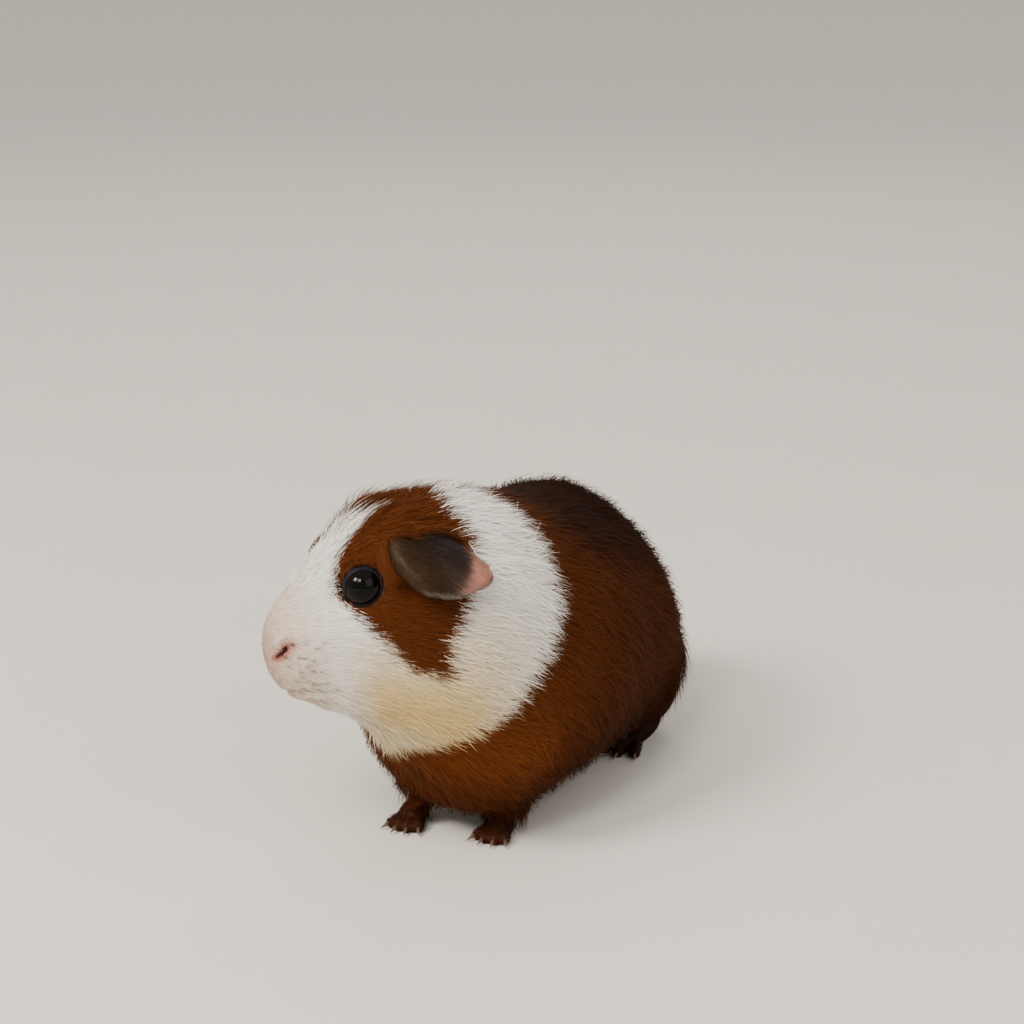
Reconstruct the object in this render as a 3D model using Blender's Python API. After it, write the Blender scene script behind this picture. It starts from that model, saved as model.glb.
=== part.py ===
"""A guinea pig standing with its head turned to its right: a still, life-size model in metres, +Z up.

The animal faces -Y, its left side is +X, and its feet stand on Z = 0. The solids are the outer
form of the coat, out to the tips of the hair: the body is one form along a bent spine, parted by
thin cuts into head, neck and trunk, with the limbs, ears and eyes seated in it.
Run with: blender --background --python part.py
"""

import math

import bmesh
import bpy
import numpy as np
from mathutils import Matrix, Vector

MM = 0.001
GAP = 0.3 * MM

# The spine: a line through the widest points of the body. It starts at the nose and keeps its course
# back to the rump. Each row: distance from the nose in mm, turn from straight back toward the
# animal's left and rise, in degrees.
NOSE = np.array((-31.7, -68.4, 61.4)) * MM
BODY_LENGTH = 181 * MM
COURSE = (
    (0, 50, 14),
    (18, 47.5, 11.5),
    (30, 38.5, 5.5),
    (50, 17, -5),
    (66, 3, -14),
    (80, -3, -22),
    (105, -4, -27),
    (130, -2, -12),
    (185, 0, -6),
)

# The form across the spine, in mm:
# distance from the nose, height above the spine, depth below it, half width, squareness on top
FORM = (
    (0, 12, 10, 5.5, 2.0),
    (8, 16, 13, 9.4, 2.1),
    (18, 24, 21.5, 15.2, 2.2),
    (30, 31.5, 33, 22, 2.2),
    (44, 35.5, 45, 28, 2.2),
    (60, 34, 54.5, 33, 2.2),
    (75, 32.5, 58, 36.5, 2.1),
    (95, 37.5, 54, 39, 2.0),
    (120, 45, 43, 39, 1.85),
    (150, 42.5, 36.5, 40, 1.75),
    (180, 33.5, 34, 39, 1.75),
    (230, 30, 31, 37, 2.0),
)
SQUARENESS_BELOW = 2.3
NOSE_ROUND = 8 * MM
NOSE_BLUNTNESS = 2.3
RUMP_ROUND = 50 * MM
RUMP_BLUNTNESS = 2.1

# Swellings (+) and hollows (-) of the form: distance from the nose in mm, turn round the spine in
# degrees (0 is the side, 90 the top), reach along and across, and height. Each is on both sides.
SWELLINGS = (
    (7.5, 2, 5.0, 6.0, 1.4),  # whisker pad
    (4.6, 22, 1.5, 1.5, -1.0),  # nostril
    (4.6, -62, 1.6, 6.0, -1.2),  # mouth
    (11.0, -88, 4.0, 5.0, 0.8),  # chin
    (31.0, 74, 9.0, 5.0, 1.0),  # brow
    (21.0, 36, 6.0, 5.0, -0.8),  # hollow before the eye
    (42.0, -18, 15.0, 13.0, 2.0),  # cheek
    (54.0, -42, 15.0, 15.0, 3.2),  # jowl
    (88.0, -12, 15.0, 17.0, 2.0),  # shoulder
    (158.0, -20, 20.0, 18.0, 1.5),  # haunch
)

# Where the form is parted, and how finely it is drawn.
HEAD_END = 50 * MM
NECK_END = 70 * MM
FORM_SIDES = 32
HEAD_RINGS = 27  # closer together toward the nose
NECK_RINGS = 5
TRUNK_RINGS = 20
RUMP_CROWDING = 1.6  # over 1 puts the trunk's rings closer together toward the rump
END_RING = 0.06 * MM  # how far the last ring lies from the nose's and rump's ends

EYE_DISTANCE = 25.1 * MM
EYE_HEIGHT = 18 * MM
EYE_RADIUS = 5.4 * MM
EYE_SUNK = 2.5 * MM

# The ear, in mm along the skull's axes from the nose: back, up, and height off the head's side.
# The root line is sunk in the head, and the free edge hangs outward and back from it.
EAR_ROOT = (
    (37.5, 23.0, -1.6),
    (40.2, 25.9, -1.8),
    (46.1, 26.1, -1.8),
    (51.8, 22.5, -1.8),
    (55.2, 17.7, -1.4),
)
EAR_EDGE = (
    (36.8, 21.5, 1.5),
    (37.6, 18.9, 5.0),
    (42.0, 13.9, 7.5),
    (51.2, 10.5, 7.5),
    (59.1, 10.4, 6.5),
    (59.9, 13.6, 4.5),
)
EAR_SWING = math.radians(35)  # the turned neck pushes the right ear outward
EAR_SWELL = 3.5 * MM
EAR_SWELL_WAY = (0.9, 0.4)  # how much the swell goes out from the head, and how much up
EAR_SWELL_PLACE = 0.8  # under 1 puts the fullest part nearer the root
EAR_ENDS = 0.25  # how much of the swell is left at the front and rear borders, in radians of a sine
EAR_ROOT_THICKNESS = 1.7 * MM
EAR_RIM_THICKNESS = 0.8 * MM
EAR_ROWS_ACROSS = 11
EAR_ROWS_ALONG = 8

# Limbs as upright columns, in mm: height, out from the middle, along Y, half width, half length.
FORELEG = (
    (5.0, 12.5, -16.5, 4.2, 4.6),
    (9.5, 13.0, -15.5, 5.2, 5.8),
    (15.0, 15.0, -13.0, 6.8, 7.8),
    (23.0, 18.0, -8.5, 8.6, 10.0),
    (34.0, 19.5, -3.5, 9.0, 11.0),
)
HINDLEG = (
    (4.5, 24.5, 71.0, 5.0, 8.0),
    (9.0, 26.0, 67.0, 9.0, 15.0),
    (18.0, 26.5, 62.0, 12.0, 20.0),
    (30.0, 25.0, 60.0, 12.5, 22.0),
    (44.0, 21.0, 61.0, 10.0, 17.0),
)
LIMB_ENDS = 0.06  # share of the height left off each rounded end
LIMB_FOOT_ROUND = 0.12  # shares of the height that the ends are rounded over
LIMB_TOP_ROUND = 0.25
FOREFOOT_PLACES = {"left": (12.0, -17.0), "right": (-13.5, -19.5)}
FOREFOOT_RADII = (4.3, 5.4, 3.4)
FOREFOOT_TOES = (-27, -9, 9, 27)
HINDFOOT_PLACES = {"left": (22.5, 66.0), "right": (-25.5, 65.0)}
HINDFOOT_RADII = (5.2, 14.5, 3.8)
HINDFOOT_TOES = (-17, 0, 17)
FOOT_SUNK = 0.4 * MM
FORETOE_LENGTH = 4.2 * MM
HINDTOE_LENGTH = 7.0 * MM
TOE_RADIUS = 1.6 * MM
TOE_ROOT_SHARE = 1.1  # radii at the root and tip, and the middle's height, as shares of the radius
TOE_TIP_SHARE = 0.8
TOE_HEIGHT_SHARE = 1.05
KNUCKLES_WIDE = 0.62  # places of the knuckles, as shares of the sole's half width and half length
KNUCKLES_AHEAD = 0.86
KNUCKLES_SET_BACK = 0.5
TOE_OVERLAP = 0.3
CLAW_LENGTH = 3.6 * MM
CLAW_ROOT_RADIUS = 0.62 * MM
CLAW_TIP_RADIUS = 0.25 * MM
CLAW_DROOP = 0.6 * MM

FLOOR_WIDTH = 0.6
FLOOR_DEPTH = 0.1
SIDES = {"left": 1, "right": -1}
HIND_MIDDLE = -1.5  # mm that the hindquarters stand to the animal's right


def clear_scene():
    """Start from an empty scene."""
    for thing in list(bpy.data.objects):
        bpy.data.objects.remove(thing, do_unlink=True)


def material(name, colour, roughness):
    """Make a plain surface of one colour."""
    surface = bpy.data.materials.new(name)
    surface.use_nodes = True
    shader = surface.node_tree.nodes["Principled BSDF"]
    shader.inputs["Base Color"].default_value = (*colour, 1.0)
    shader.inputs["Roughness"].default_value = roughness
    shader.inputs["Metallic"].default_value = 0.0
    surface.diffuse_color = (*colour, 1.0)
    return surface


def hermite(keys, values, at):
    """Read a smooth curve through the values at the keys, as a cubic between each two of them."""
    slopes = np.gradient(values, keys, axis=0)
    left = np.clip(np.searchsorted(keys, at) - 1, 0, len(keys) - 2)
    step = keys[left + 1] - keys[left]
    t = (at - keys[left]) / step
    step = step[:, None]
    t = t[:, None]
    start = (1 + 2 * t) * (1 - t) ** 2 * values[left] + t * (1 - t) ** 2 * step * slopes[left]
    end = t * t * (3 - 2 * t) * values[left + 1] + t * t * (t - 1) * step * slopes[left + 1]
    return start + end


def spine_line():
    """Follow the course from the nose, and give the spine's points and their distances."""
    course = np.array(COURSE, dtype=float)
    step = 0.5 * MM
    steps = round(BODY_LENGTH / step)
    middles = (np.arange(steps) + 0.5) * step
    turn, rise = hermite(course[:, 0] * MM, np.radians(course[:, 1:]), middles).T
    ways = np.stack((np.sin(turn) * np.cos(rise), np.cos(turn) * np.cos(rise), np.sin(rise)), axis=1)
    points = np.concatenate(([NOSE], NOSE + np.cumsum(ways * step, axis=0)))
    return points, np.arange(steps + 1) * step


SPINE, SPINE_KEYS = spine_line()
FORM_TABLE = np.array(FORM)


def axes_at(distance):
    """Give the spine's point, and the directions back, to the left and up, at each distance."""
    near = 0.1 * MM
    back = hermite(SPINE_KEYS, SPINE, distance + near) - hermite(SPINE_KEYS, SPINE, distance - near)
    back /= np.linalg.norm(back, axis=1, keepdims=True)
    left = np.cross(back, (0.0, 0.0, 1.0))
    left /= np.linalg.norm(left, axis=1, keepdims=True)
    return hermite(SPINE_KEYS, SPINE, distance), back, left, np.cross(left, back)


def end_rounding(distance):
    """Draw the form in to a point at the nose and at the rump."""
    nose = np.clip(1 - distance / NOSE_ROUND, 0, 1)
    rump = np.clip(1 - (BODY_LENGTH - distance) / RUMP_ROUND, 0, 1)
    at_nose = (1 - nose**NOSE_BLUNTNESS) ** (1 / NOSE_BLUNTNESS)
    at_rump = (1 - rump**RUMP_BLUNTNESS) ** (1 / RUMP_BLUNTNESS)
    return at_nose * at_rump


def plain_form(distance, angle):
    """Give points of the form without its swellings, and the way out from the spine at each."""
    centre, _, left, up = axes_at(distance)
    above, below, half_width, square = hermite(FORM_TABLE[:, 0] * MM, FORM_TABLE[:, 1:], distance).T
    power = 2 / np.where(np.sin(angle) >= 0, square, SQUARENESS_BELOW)
    across = np.sign(np.cos(angle)) * np.abs(np.cos(angle)) ** power * half_width
    height = np.sign(np.sin(angle)) * np.abs(np.sin(angle)) ** power
    height *= np.where(np.sin(angle) >= 0, above, below)
    offset = (left * across[:, None] + up * height[:, None]) * end_rounding(distance)[:, None] * MM
    outward = left * np.cos(angle)[:, None] + up * np.sin(angle)[:, None]
    return centre + offset, outward


def form(distance, angle):
    """Give points of the coat's form at distances from the nose and angles round the spine."""
    distance = np.atleast_1d(np.asarray(distance, dtype=float))
    angle = np.atleast_1d(np.asarray(angle, dtype=float)) + np.zeros_like(distance)
    points, outward = plain_form(distance, angle)
    back = axes_at(distance)[1]
    push = np.zeros(len(points))
    for place, turn, reach_along, reach_across, height in SWELLINGS:
        for mirrored in (turn, 180 - turn):
            middle, _ = plain_form(np.array([place * MM]), np.array([math.radians(mirrored)]))
            away = points - middle
            along = np.einsum("ij,ij->i", away, back)
            across = np.sqrt(np.maximum(np.einsum("ij,ij->i", away, away) - along**2, 0))
            nearness = (along / (reach_along * MM)) ** 2 + (across / (reach_across * MM)) ** 2
            push += height * MM * np.exp(-nearness)
    return points + outward * push[:, None]


def loft(rings, flat_ends=True):
    """Close a stack of equal rings of points into one body, across each end or along a thin rim."""
    mesh = bmesh.new()
    rows = [[mesh.verts.new(point) for point in ring] for ring in rings]
    for row, following in zip(rows, rows[1:]):
        for i in range(len(row)):
            j = (i + 1) % len(row)
            mesh.faces.new((row[i], row[j], following[j], following[i]))
    for row in (rows[0], rows[-1]):
        if flat_ends:
            mesh.faces.new(row)
            continue
        for i in range(len(row) // 2 - 1):
            mesh.faces.new((row[i], row[i + 1], row[-2 - i], row[-1 - i]))
    bmesh.ops.recalc_face_normals(mesh, faces=mesh.faces[:])
    return mesh


def length_of_form(distances):
    """Make one length of the body, lofted through the form at the given distances from the nose."""
    angles = np.linspace(0, 2 * math.pi, FORM_SIDES, endpoint=False)
    return loft([form(np.full(FORM_SIDES, distance), angles) for distance in distances])


def ball(middle, radii, around=16, over=10):
    """Make an egg-shaped body."""
    mesh = bmesh.new()
    place = Matrix.Translation(middle) @ Matrix.Diagonal((*radii, 1.0))
    bmesh.ops.create_uvsphere(mesh, u_segments=around, v_segments=over, radius=1.0, matrix=place)
    bmesh.ops.recalc_face_normals(mesh, faces=mesh.faces[:])
    return mesh


def grown(mesh, by=GAP):
    """Copy a body and push its surface out."""
    bigger = mesh.copy()
    bigger.normal_update()
    moves = [vert.normal * by for vert in bigger.verts]
    for vert, move in zip(bigger.verts, moves):
        vert.co += move
    return bigger


def joined(meshes):
    """Put several separate bodies into one mesh."""
    whole = bmesh.new()
    for mesh in meshes:
        copies = {vert: whole.verts.new(vert.co) for vert in mesh.verts}
        for face in mesh.faces:
            whole.faces.new([copies[vert] for vert in face.verts])
    whole.normal_update()
    return whole


def add_object(name, mesh, surface=None):
    """Make an object of a body, with its origin in the body's middle."""
    corners = np.array([vert.co[:] for vert in mesh.verts])
    middle = Vector((corners.min(axis=0) + corners.max(axis=0)) / 2)
    shape = mesh.copy()
    bmesh.ops.translate(shape, verts=shape.verts[:], vec=-middle)
    data = bpy.data.meshes.new(name)
    shape.to_mesh(data)
    shape.free()
    data.shade_smooth()
    if surface:
        data.materials.append(surface)
    thing = bpy.data.objects.new(name, data)
    thing.location = middle
    bpy.context.scene.collection.objects.link(thing)
    return thing


def add_cutter(name, mesh):
    """Make a hidden body that other bodies are cut or joined with."""
    cutter = add_object(name, mesh)
    cutter.hide_render = True
    cutter.display_type = "WIRE"
    return cutter


def boolean(thing, other, operation="DIFFERENCE"):
    """Cut one body with another, or join it to one."""
    step = thing.modifiers.new(other.name, "BOOLEAN")
    step.operation = operation
    step.solver = "EXACT"
    step.use_self = operation == "UNION"
    step.object = other


def curve_points(points, count):
    """Read evenly spaced points of a smooth curve through a few points in mm."""
    points = np.array(points, dtype=float) * MM
    keys = np.arange(len(points), dtype=float)
    return hermite(keys, points, np.linspace(0, len(points) - 1, count))


def skull_axes():
    """Give the directions back, left and up of the skull, which follows the nose."""
    return [axis[0] for axis in axes_at(np.array([0.2 * MM]))[1:]]


def on_head(places, side):
    """Find points off one side of the head, from places back, up and out along the skull's axes."""
    distances = np.arange(EYE_DISTANCE, NECK_END + 20 * MM, 0.25 * MM)
    angles = np.radians(np.arange(-45, 90, 0.5))
    if side < 0:
        angles = math.pi - angles
    grid = np.concatenate([form(np.full(len(angles), distance), angles) for distance in distances])
    back, left, up = skull_axes()
    found = []
    for place_back, place_up, height in places:
        miss = ((grid - NOSE) @ back - place_back) ** 2 + ((grid - NOSE) @ up - place_up) ** 2
        found.append(grid[np.argmin(miss)] + left * side * height)
    return np.array(found)


def ear(name):
    """Make the ear: a petal that swells outward from its root and droops to a thin free edge."""
    root = on_head(curve_points(EAR_ROOT, EAR_ROWS_ACROSS), 1)
    edge = on_head(curve_points(EAR_EDGE, EAR_ROWS_ACROSS), 1)
    _, left, up = skull_axes()
    swell = (left * EAR_SWELL_WAY[0] + up * EAR_SWELL_WAY[1]) * EAR_SWELL
    fullness = np.sin(np.linspace(EAR_ENDS, math.pi - EAR_ENDS, EAR_ROWS_ACROSS))[:, None]
    sheet = []
    for share in np.linspace(0, 1, EAR_ROWS_ALONG):
        bend = math.sin(math.pi * share**EAR_SWELL_PLACE)
        sheet.append(root + (edge - root) * share + swell * bend * fullness)
    sheet = np.array(sheet)
    if name == "right":
        away = sheet - root[0]
        away -= 2 * (away @ left)[:, :, None] * left
        swing = np.array(Matrix.Rotation(EAR_SWING, 3, Vector(up)))
        sheet = on_head(curve_points(EAR_ROOT, EAR_ROWS_ACROSS)[:1], -1)[0] + away @ swing.T
    normals = np.cross(np.gradient(sheet, axis=0), np.gradient(sheet, axis=1))
    normals /= np.linalg.norm(normals, axis=2, keepdims=True)
    thickness = np.linspace(EAR_ROOT_THICKNESS, EAR_RIM_THICKNESS, EAR_ROWS_ALONG)[:, None, None]
    rings = []
    for outer, inner in zip(sheet + normals * thickness / 2, sheet - normals * thickness / 2):
        rings.append(np.concatenate((outer, inner[::-1])))
    return loft(rings, flat_ends=False)


def column(levels, side, middle=0.0, rings=8, around=16):
    """Make an upright limb with rounded ends, from its half widths at a few heights."""
    levels = np.array(levels, dtype=float)
    shares = (1 - np.cos(np.linspace(LIMB_ENDS, 1 - LIMB_ENDS, rings) * math.pi)) / 2
    heights = levels[0, 0] + (levels[-1, 0] - levels[0, 0]) * shares
    rows = []
    for share, height in zip(shares, heights):
        out, along, half_width, half_length = hermite(levels[:, 0], levels[:, 1:], np.array([height]))[0]
        rounding = math.sqrt(1 - max(0.0, 1 - share / LIMB_FOOT_ROUND) ** 2)
        rounding *= math.sqrt(1 - max(0.0, 1 - (1 - share) / LIMB_TOP_ROUND) ** 2)
        turns = np.linspace(0, 2 * math.pi, around, endpoint=False)
        x = middle + side * out + half_width * rounding * np.cos(turns)
        y = along + half_length * rounding * np.sin(turns)
        rows.append(np.stack((x, y, np.full(around, height)), axis=1) * MM)
    return loft(rows)


def rod(start, end, start_radius, end_radius, droop=0.0, rings=3, around=8):
    """Make a tapered rod, flat at its ends, that can bend down toward its tip."""
    start, end = Vector(start), Vector(end)
    way = (end - start).normalized()
    side = way.cross(Vector((0, 0, 1))).normalized()
    up = side.cross(way)
    rows = []
    for step in range(rings):
        share = step / (rings - 1)
        middle = start.lerp(end, share) - Vector((0, 0, droop * share**2))
        radius = start_radius + (end_radius - start_radius) * share
        turns = [2 * math.pi * i / around for i in range(around)]
        rows.append([middle + (side * math.cos(t) + up * math.sin(t)) * radius for t in turns])
    return loft(rows)


def foot(name, place, radii, toe_turns, toe_length, surfaces, floor):
    """Make a foot of a sole and toes, and one claw before each toe."""
    x, y = place[0] * MM, place[1] * MM
    width, length, height = (radius * MM for radius in radii)
    sole = ball((x, y, height - FOOT_SUNK), (width, length, height), around=12, over=8)
    foot_object = add_object(name, sole, surfaces["foot"])
    toes = []
    for number, turn in enumerate(toe_turns, start=1):
        turn = math.radians(turn)
        way = Vector((math.sin(turn), -math.cos(turn), 0))
        knuckle_x = x + width * KNUCKLES_WIDE * math.sin(turn) / math.sin(math.radians(max(toe_turns)))
        knuckle_y = y - length * (KNUCKLES_AHEAD - KNUCKLES_SET_BACK * (1 - math.cos(turn * 2)))
        knuckle = Vector((knuckle_x, knuckle_y, TOE_RADIUS * TOE_HEIGHT_SHARE))
        tip = knuckle + way * toe_length
        root = knuckle - way * length * TOE_OVERLAP
        toes.append(rod(root, tip, TOE_RADIUS * TOE_ROOT_SHARE, TOE_RADIUS * TOE_TIP_SHARE))
        nail = tip + way * GAP
        claw = rod(
            nail, nail + way * CLAW_LENGTH, CLAW_ROOT_RADIUS, CLAW_TIP_RADIUS, CLAW_DROOP, around=6
        )
        add_object(f"claw_{name.replace('foot', '')}_{number}", claw, surfaces["claw"])
    boolean(foot_object, add_cutter(f"{name}_toes", joined(toes)), "UNION")
    boolean(foot_object, floor)
    return sole


def build_body(surfaces):
    """Make the head, neck and trunk as three lengths of one form."""
    head_at = END_RING + (HEAD_END - GAP / 2 - END_RING) * np.linspace(0, 1, HEAD_RINGS) ** 2
    neck_at = np.linspace(HEAD_END + GAP / 2, NECK_END - GAP / 2, NECK_RINGS)
    trunk_length = BODY_LENGTH - NECK_END - GAP / 2
    trunk_at = BODY_LENGTH - trunk_length * np.linspace(1, 0, TRUNK_RINGS) ** RUMP_CROWDING
    trunk_at = np.minimum(trunk_at, BODY_LENGTH - END_RING)
    head = add_object("head", length_of_form(head_at), surfaces["head"])
    neck = add_object("neck", length_of_form(neck_at), surfaces["neck"])
    trunk = add_object("trunk", length_of_form(trunk_at), surfaces["trunk"])
    return head, neck, trunk


def build_eyes(head, surfaces):
    """Seat an eye in each side of the head."""
    sockets = []
    centre, _, left, up = (row[0] for row in axes_at(np.array([EYE_DISTANCE])))
    for name, side in SIDES.items():
        angles = np.radians(np.arange(0, 90, 0.5))
        if side < 0:
            angles = math.pi - angles
        rim = form(np.full(len(angles), EYE_DISTANCE), angles) - centre
        nearest = np.argmin(np.abs(rim @ up - EYE_HEIGHT))
        middle = centre + left * (rim[nearest] @ left - side * EYE_SUNK) + up * EYE_HEIGHT
        eye = ball(middle, (EYE_RADIUS,) * 3, around=16, over=10)
        add_object(f"eye_{name}", eye, surfaces["eye"])
        sockets.append(ball(middle, (EYE_RADIUS + GAP,) * 3, around=16, over=10))
    boolean(head, add_cutter("eye_sockets", joined(sockets)))


def build_ears(head, neck, surfaces):
    """Seat an ear in each side of the head, clear of the neck's coat."""
    slots = []
    for name in SIDES:
        petal = ear(name)
        add_object(f"ear_{name}", petal, surfaces["ear"])
        slots.append(grown(petal, 1.5 * GAP))
    slots_cutter = add_cutter("ear_slots", joined(slots))
    boolean(head, slots_cutter)
    boolean(neck, slots_cutter)


def build_limbs(neck, trunk, surfaces):
    """Stand the animal on four feet, with each leg seated in the body above its foot."""
    floor = bmesh.new()
    below = Matrix.Translation((0, 0, -FLOOR_DEPTH / 2))
    below @= Matrix.Diagonal((FLOOR_WIDTH, FLOOR_WIDTH, FLOOR_DEPTH, 1.0))
    bmesh.ops.create_cube(floor, size=1.0, matrix=below)
    floor_cutter = add_cutter("floor", floor)
    legs = {}
    soles = []
    for name, side in SIDES.items():
        fore = foot(
            f"forefoot_{name}", FOREFOOT_PLACES[name], FOREFOOT_RADII, FOREFOOT_TOES,
            FORETOE_LENGTH, surfaces, floor_cutter,
        )
        hind = foot(
            f"hindfoot_{name}", HINDFOOT_PLACES[name], HINDFOOT_RADII, HINDFOOT_TOES,
            HINDTOE_LENGTH, surfaces, floor_cutter,
        )
        soles += [grown(fore), grown(hind)]
        legs[f"foreleg_{name}"] = column(FORELEG, side)
        legs[f"hindleg_{name}"] = column(HINDLEG, side, HIND_MIDDLE, rings=9, around=20)
    soles_cutter = add_cutter("soles", joined(soles))
    for name, shape in legs.items():
        boolean(add_object(name, shape, surfaces["leg"]), soles_cutter)
    legs_cutter = add_cutter("legs", joined([grown(shape) for shape in legs.values()]))
    boolean(neck, legs_cutter)
    boolean(trunk, legs_cutter)
    boolean(trunk, soles_cutter)


def centre_on_floor():
    """Hang everything on one empty, so that the box's base centre is the model's origin."""
    bpy.context.view_layer.update()
    corners = []
    for thing in bpy.context.scene.objects:
        if not thing.hide_render:
            corners += [thing.matrix_world @ Vector(corner) for corner in thing.bound_box]
    corners = np.array(corners)
    middle = (corners.min(axis=0) + corners.max(axis=0)) / 2
    animal = bpy.data.objects.new("animal", None)
    bpy.context.scene.collection.objects.link(animal)
    for thing in list(bpy.context.scene.objects):
        if thing is not animal:
            thing.parent = animal
    animal.location = (-middle[0], -middle[1], 0.0)


def main():
    clear_scene()
    surfaces = {
        "head": material("face_coat", (0.60, 0.52, 0.44), 0.85),
        "neck": material("collar_coat", (0.66, 0.63, 0.60), 0.85),
        "trunk": material("body_coat", (0.09, 0.032, 0.011), 0.8),
        "leg": material("leg_coat", (0.08, 0.030, 0.012), 0.8),
        "foot": material("foot_skin", (0.10, 0.050, 0.030), 0.7),
        "ear": material("ear_skin", (0.05, 0.035, 0.028), 0.6),
        "eye": material("eye", (0.008, 0.007, 0.009), 0.05),
        "claw": material("claw", (0.10, 0.075, 0.055), 0.45),
    }
    head, neck, trunk = build_body(surfaces)
    build_eyes(head, surfaces)
    build_ears(head, neck, surfaces)
    build_limbs(neck, trunk, surfaces)
    centre_on_floor()


main()
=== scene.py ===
import math

import bmesh
import bpy
import numpy as np
from mathutils import Matrix, Vector
from mathutils.bvhtree import BVHTree
from mathutils.kdtree import KDTree


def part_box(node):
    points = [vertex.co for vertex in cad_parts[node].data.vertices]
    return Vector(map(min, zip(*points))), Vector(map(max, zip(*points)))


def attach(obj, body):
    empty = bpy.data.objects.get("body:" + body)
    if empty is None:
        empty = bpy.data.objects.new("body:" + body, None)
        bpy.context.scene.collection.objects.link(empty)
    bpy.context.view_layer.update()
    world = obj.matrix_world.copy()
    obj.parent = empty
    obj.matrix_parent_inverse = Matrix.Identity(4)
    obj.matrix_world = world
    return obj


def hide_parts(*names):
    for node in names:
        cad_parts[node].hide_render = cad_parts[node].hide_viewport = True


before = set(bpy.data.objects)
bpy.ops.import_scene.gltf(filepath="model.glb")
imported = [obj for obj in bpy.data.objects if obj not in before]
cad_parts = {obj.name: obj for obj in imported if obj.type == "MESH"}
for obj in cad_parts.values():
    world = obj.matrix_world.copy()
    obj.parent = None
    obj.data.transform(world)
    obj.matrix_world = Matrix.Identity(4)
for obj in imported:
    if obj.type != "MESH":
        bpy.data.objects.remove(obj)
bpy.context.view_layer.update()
mm = 0.001
sides = {"left": 1, "right": -1}

# The coat's outer form, as the solids have it: one body along a bent spine. Lengths in mm, angles in
# degrees. A place on it is a distance from the nose and a turn round the spine, 0 at the animal's
# left, 90 on top.
body = {
    "nose": (-31.7, -68.4, 61.4),
    "length": 181.0,
    # distance, turn to the left, rise
    "course": (
        (0, 50, 14), (18, 47.5, 11.5), (30, 38.5, 5.5), (50, 17, -5), (66, 3, -14),
        (80, -3, -22), (105, -4, -27), (130, -2, -12), (185, 0, -6),
    ),
    # distance, above the spine, below it, half width, squareness on top
    "across": (
        (0, 12, 10, 5.5, 2.0), (8, 16, 13, 9.4, 2.1), (18, 24, 21.5, 15.2, 2.2),
        (30, 31.5, 33, 22, 2.2), (44, 35.5, 45, 28, 2.2), (60, 34, 54.5, 33, 2.2),
        (75, 32.5, 58, 36.5, 2.1), (95, 37.5, 54, 39, 2.0), (120, 45, 43, 39, 1.85),
        (150, 42.5, 36.5, 40, 1.75), (180, 33.5, 34, 39, 1.75), (230, 30, 31, 37, 2.0),
    ),
    "squareBelow": 2.3,
    "noseRound": 8.0,
    "noseBlunt": 2.3,
    "rumpRound": 50.0,
    "rumpBlunt": 2.1,
    # distance, turn, reach along, reach across, height, on both sides
    "swellings": (
        (7.5, 2, 5, 6, 1.4), (11, -88, 4, 5, 0.8), (31, 74, 9, 5, 1.0), (21, 36, 6, 5, -0.8),
        (42, -18, 15, 13, 2.0), (54, -42, 15, 15, 3.2), (88, -12, 15, 17, 2.0), (158, -20, 20, 18, 1.5),
    ),
}


def hermite(keys, values, at):
    slopes = np.gradient(values, keys, axis=0)
    left = np.clip(np.searchsorted(keys, at) - 1, 0, len(keys) - 2)
    step = keys[left + 1] - keys[left]
    t = ((at - keys[left]) / step)[:, None]
    step = step[:, None]
    start = (1 + 2 * t) * (1 - t) ** 2 * values[left] + t * (1 - t) ** 2 * step * slopes[left]
    end = t * t * (3 - 2 * t) * values[left + 1] + t * t * (t - 1) * step * slopes[left + 1]
    return start + end


def tableAt(table, at):
    # what a table says, smooth between its rows; its first column is where they are
    table = np.array(table, dtype=float)
    return hermite(table[:, 0], table[:, 1:], at)


def fullTurn(count):
    return np.linspace(0, 2 * math.pi, count, endpoint=False)


def unit(vectors):
    return vectors / np.maximum(np.linalg.norm(vectors, axis=-1, keepdims=True), 1e-12)


def dot(a, b):
    return (a * b).sum(axis=-1)


def smooth(low, high, value):
    t = np.clip((value - low) / (high - low), 0, 1)
    return t * t * (3 - 2 * t)


def bell(value, middle, reach):
    return np.exp(-(((value - middle) / reach) ** 2))


def spineLine():
    course = np.array(body["course"], dtype=float)
    step = 0.5
    count = round(body["length"] / step)
    turn, rise = hermite(course[:, 0], np.radians(course[:, 1:]), (np.arange(count) + 0.5) * step).T
    ways = np.stack((np.sin(turn) * np.cos(rise), np.cos(turn) * np.cos(rise), np.sin(rise)), axis=1)
    nose = np.array(body["nose"])
    return np.concatenate(([nose], nose + np.cumsum(ways * step, axis=0))) * mm, np.arange(count + 1) * step


spine, spineKeys = spineLine()


def axesAt(distance):
    near = 0.1
    back = unit(hermite(spineKeys, spine, distance + near) - hermite(spineKeys, spine, distance - near))
    left = unit(np.cross(back, (0.0, 0.0, 1.0)))
    return hermite(spineKeys, spine, distance), back, left, np.cross(left, back)


def endRounding(distance):
    nose = np.clip(1 - distance / body["noseRound"], 0, 1)
    rump = np.clip(1 - (body["length"] - distance) / body["rumpRound"], 0, 1)
    atNose = (1 - nose ** body["noseBlunt"]) ** (1 / body["noseBlunt"])
    atRump = (1 - rump ** body["rumpBlunt"]) ** (1 / body["rumpBlunt"])
    return atNose * atRump


def halfSizes(distance, top):
    above, below, halfWidth, square = tableAt(body["across"], distance).T
    return halfWidth, np.where(top, above, below), np.where(top, square, body["squareBelow"])


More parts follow.
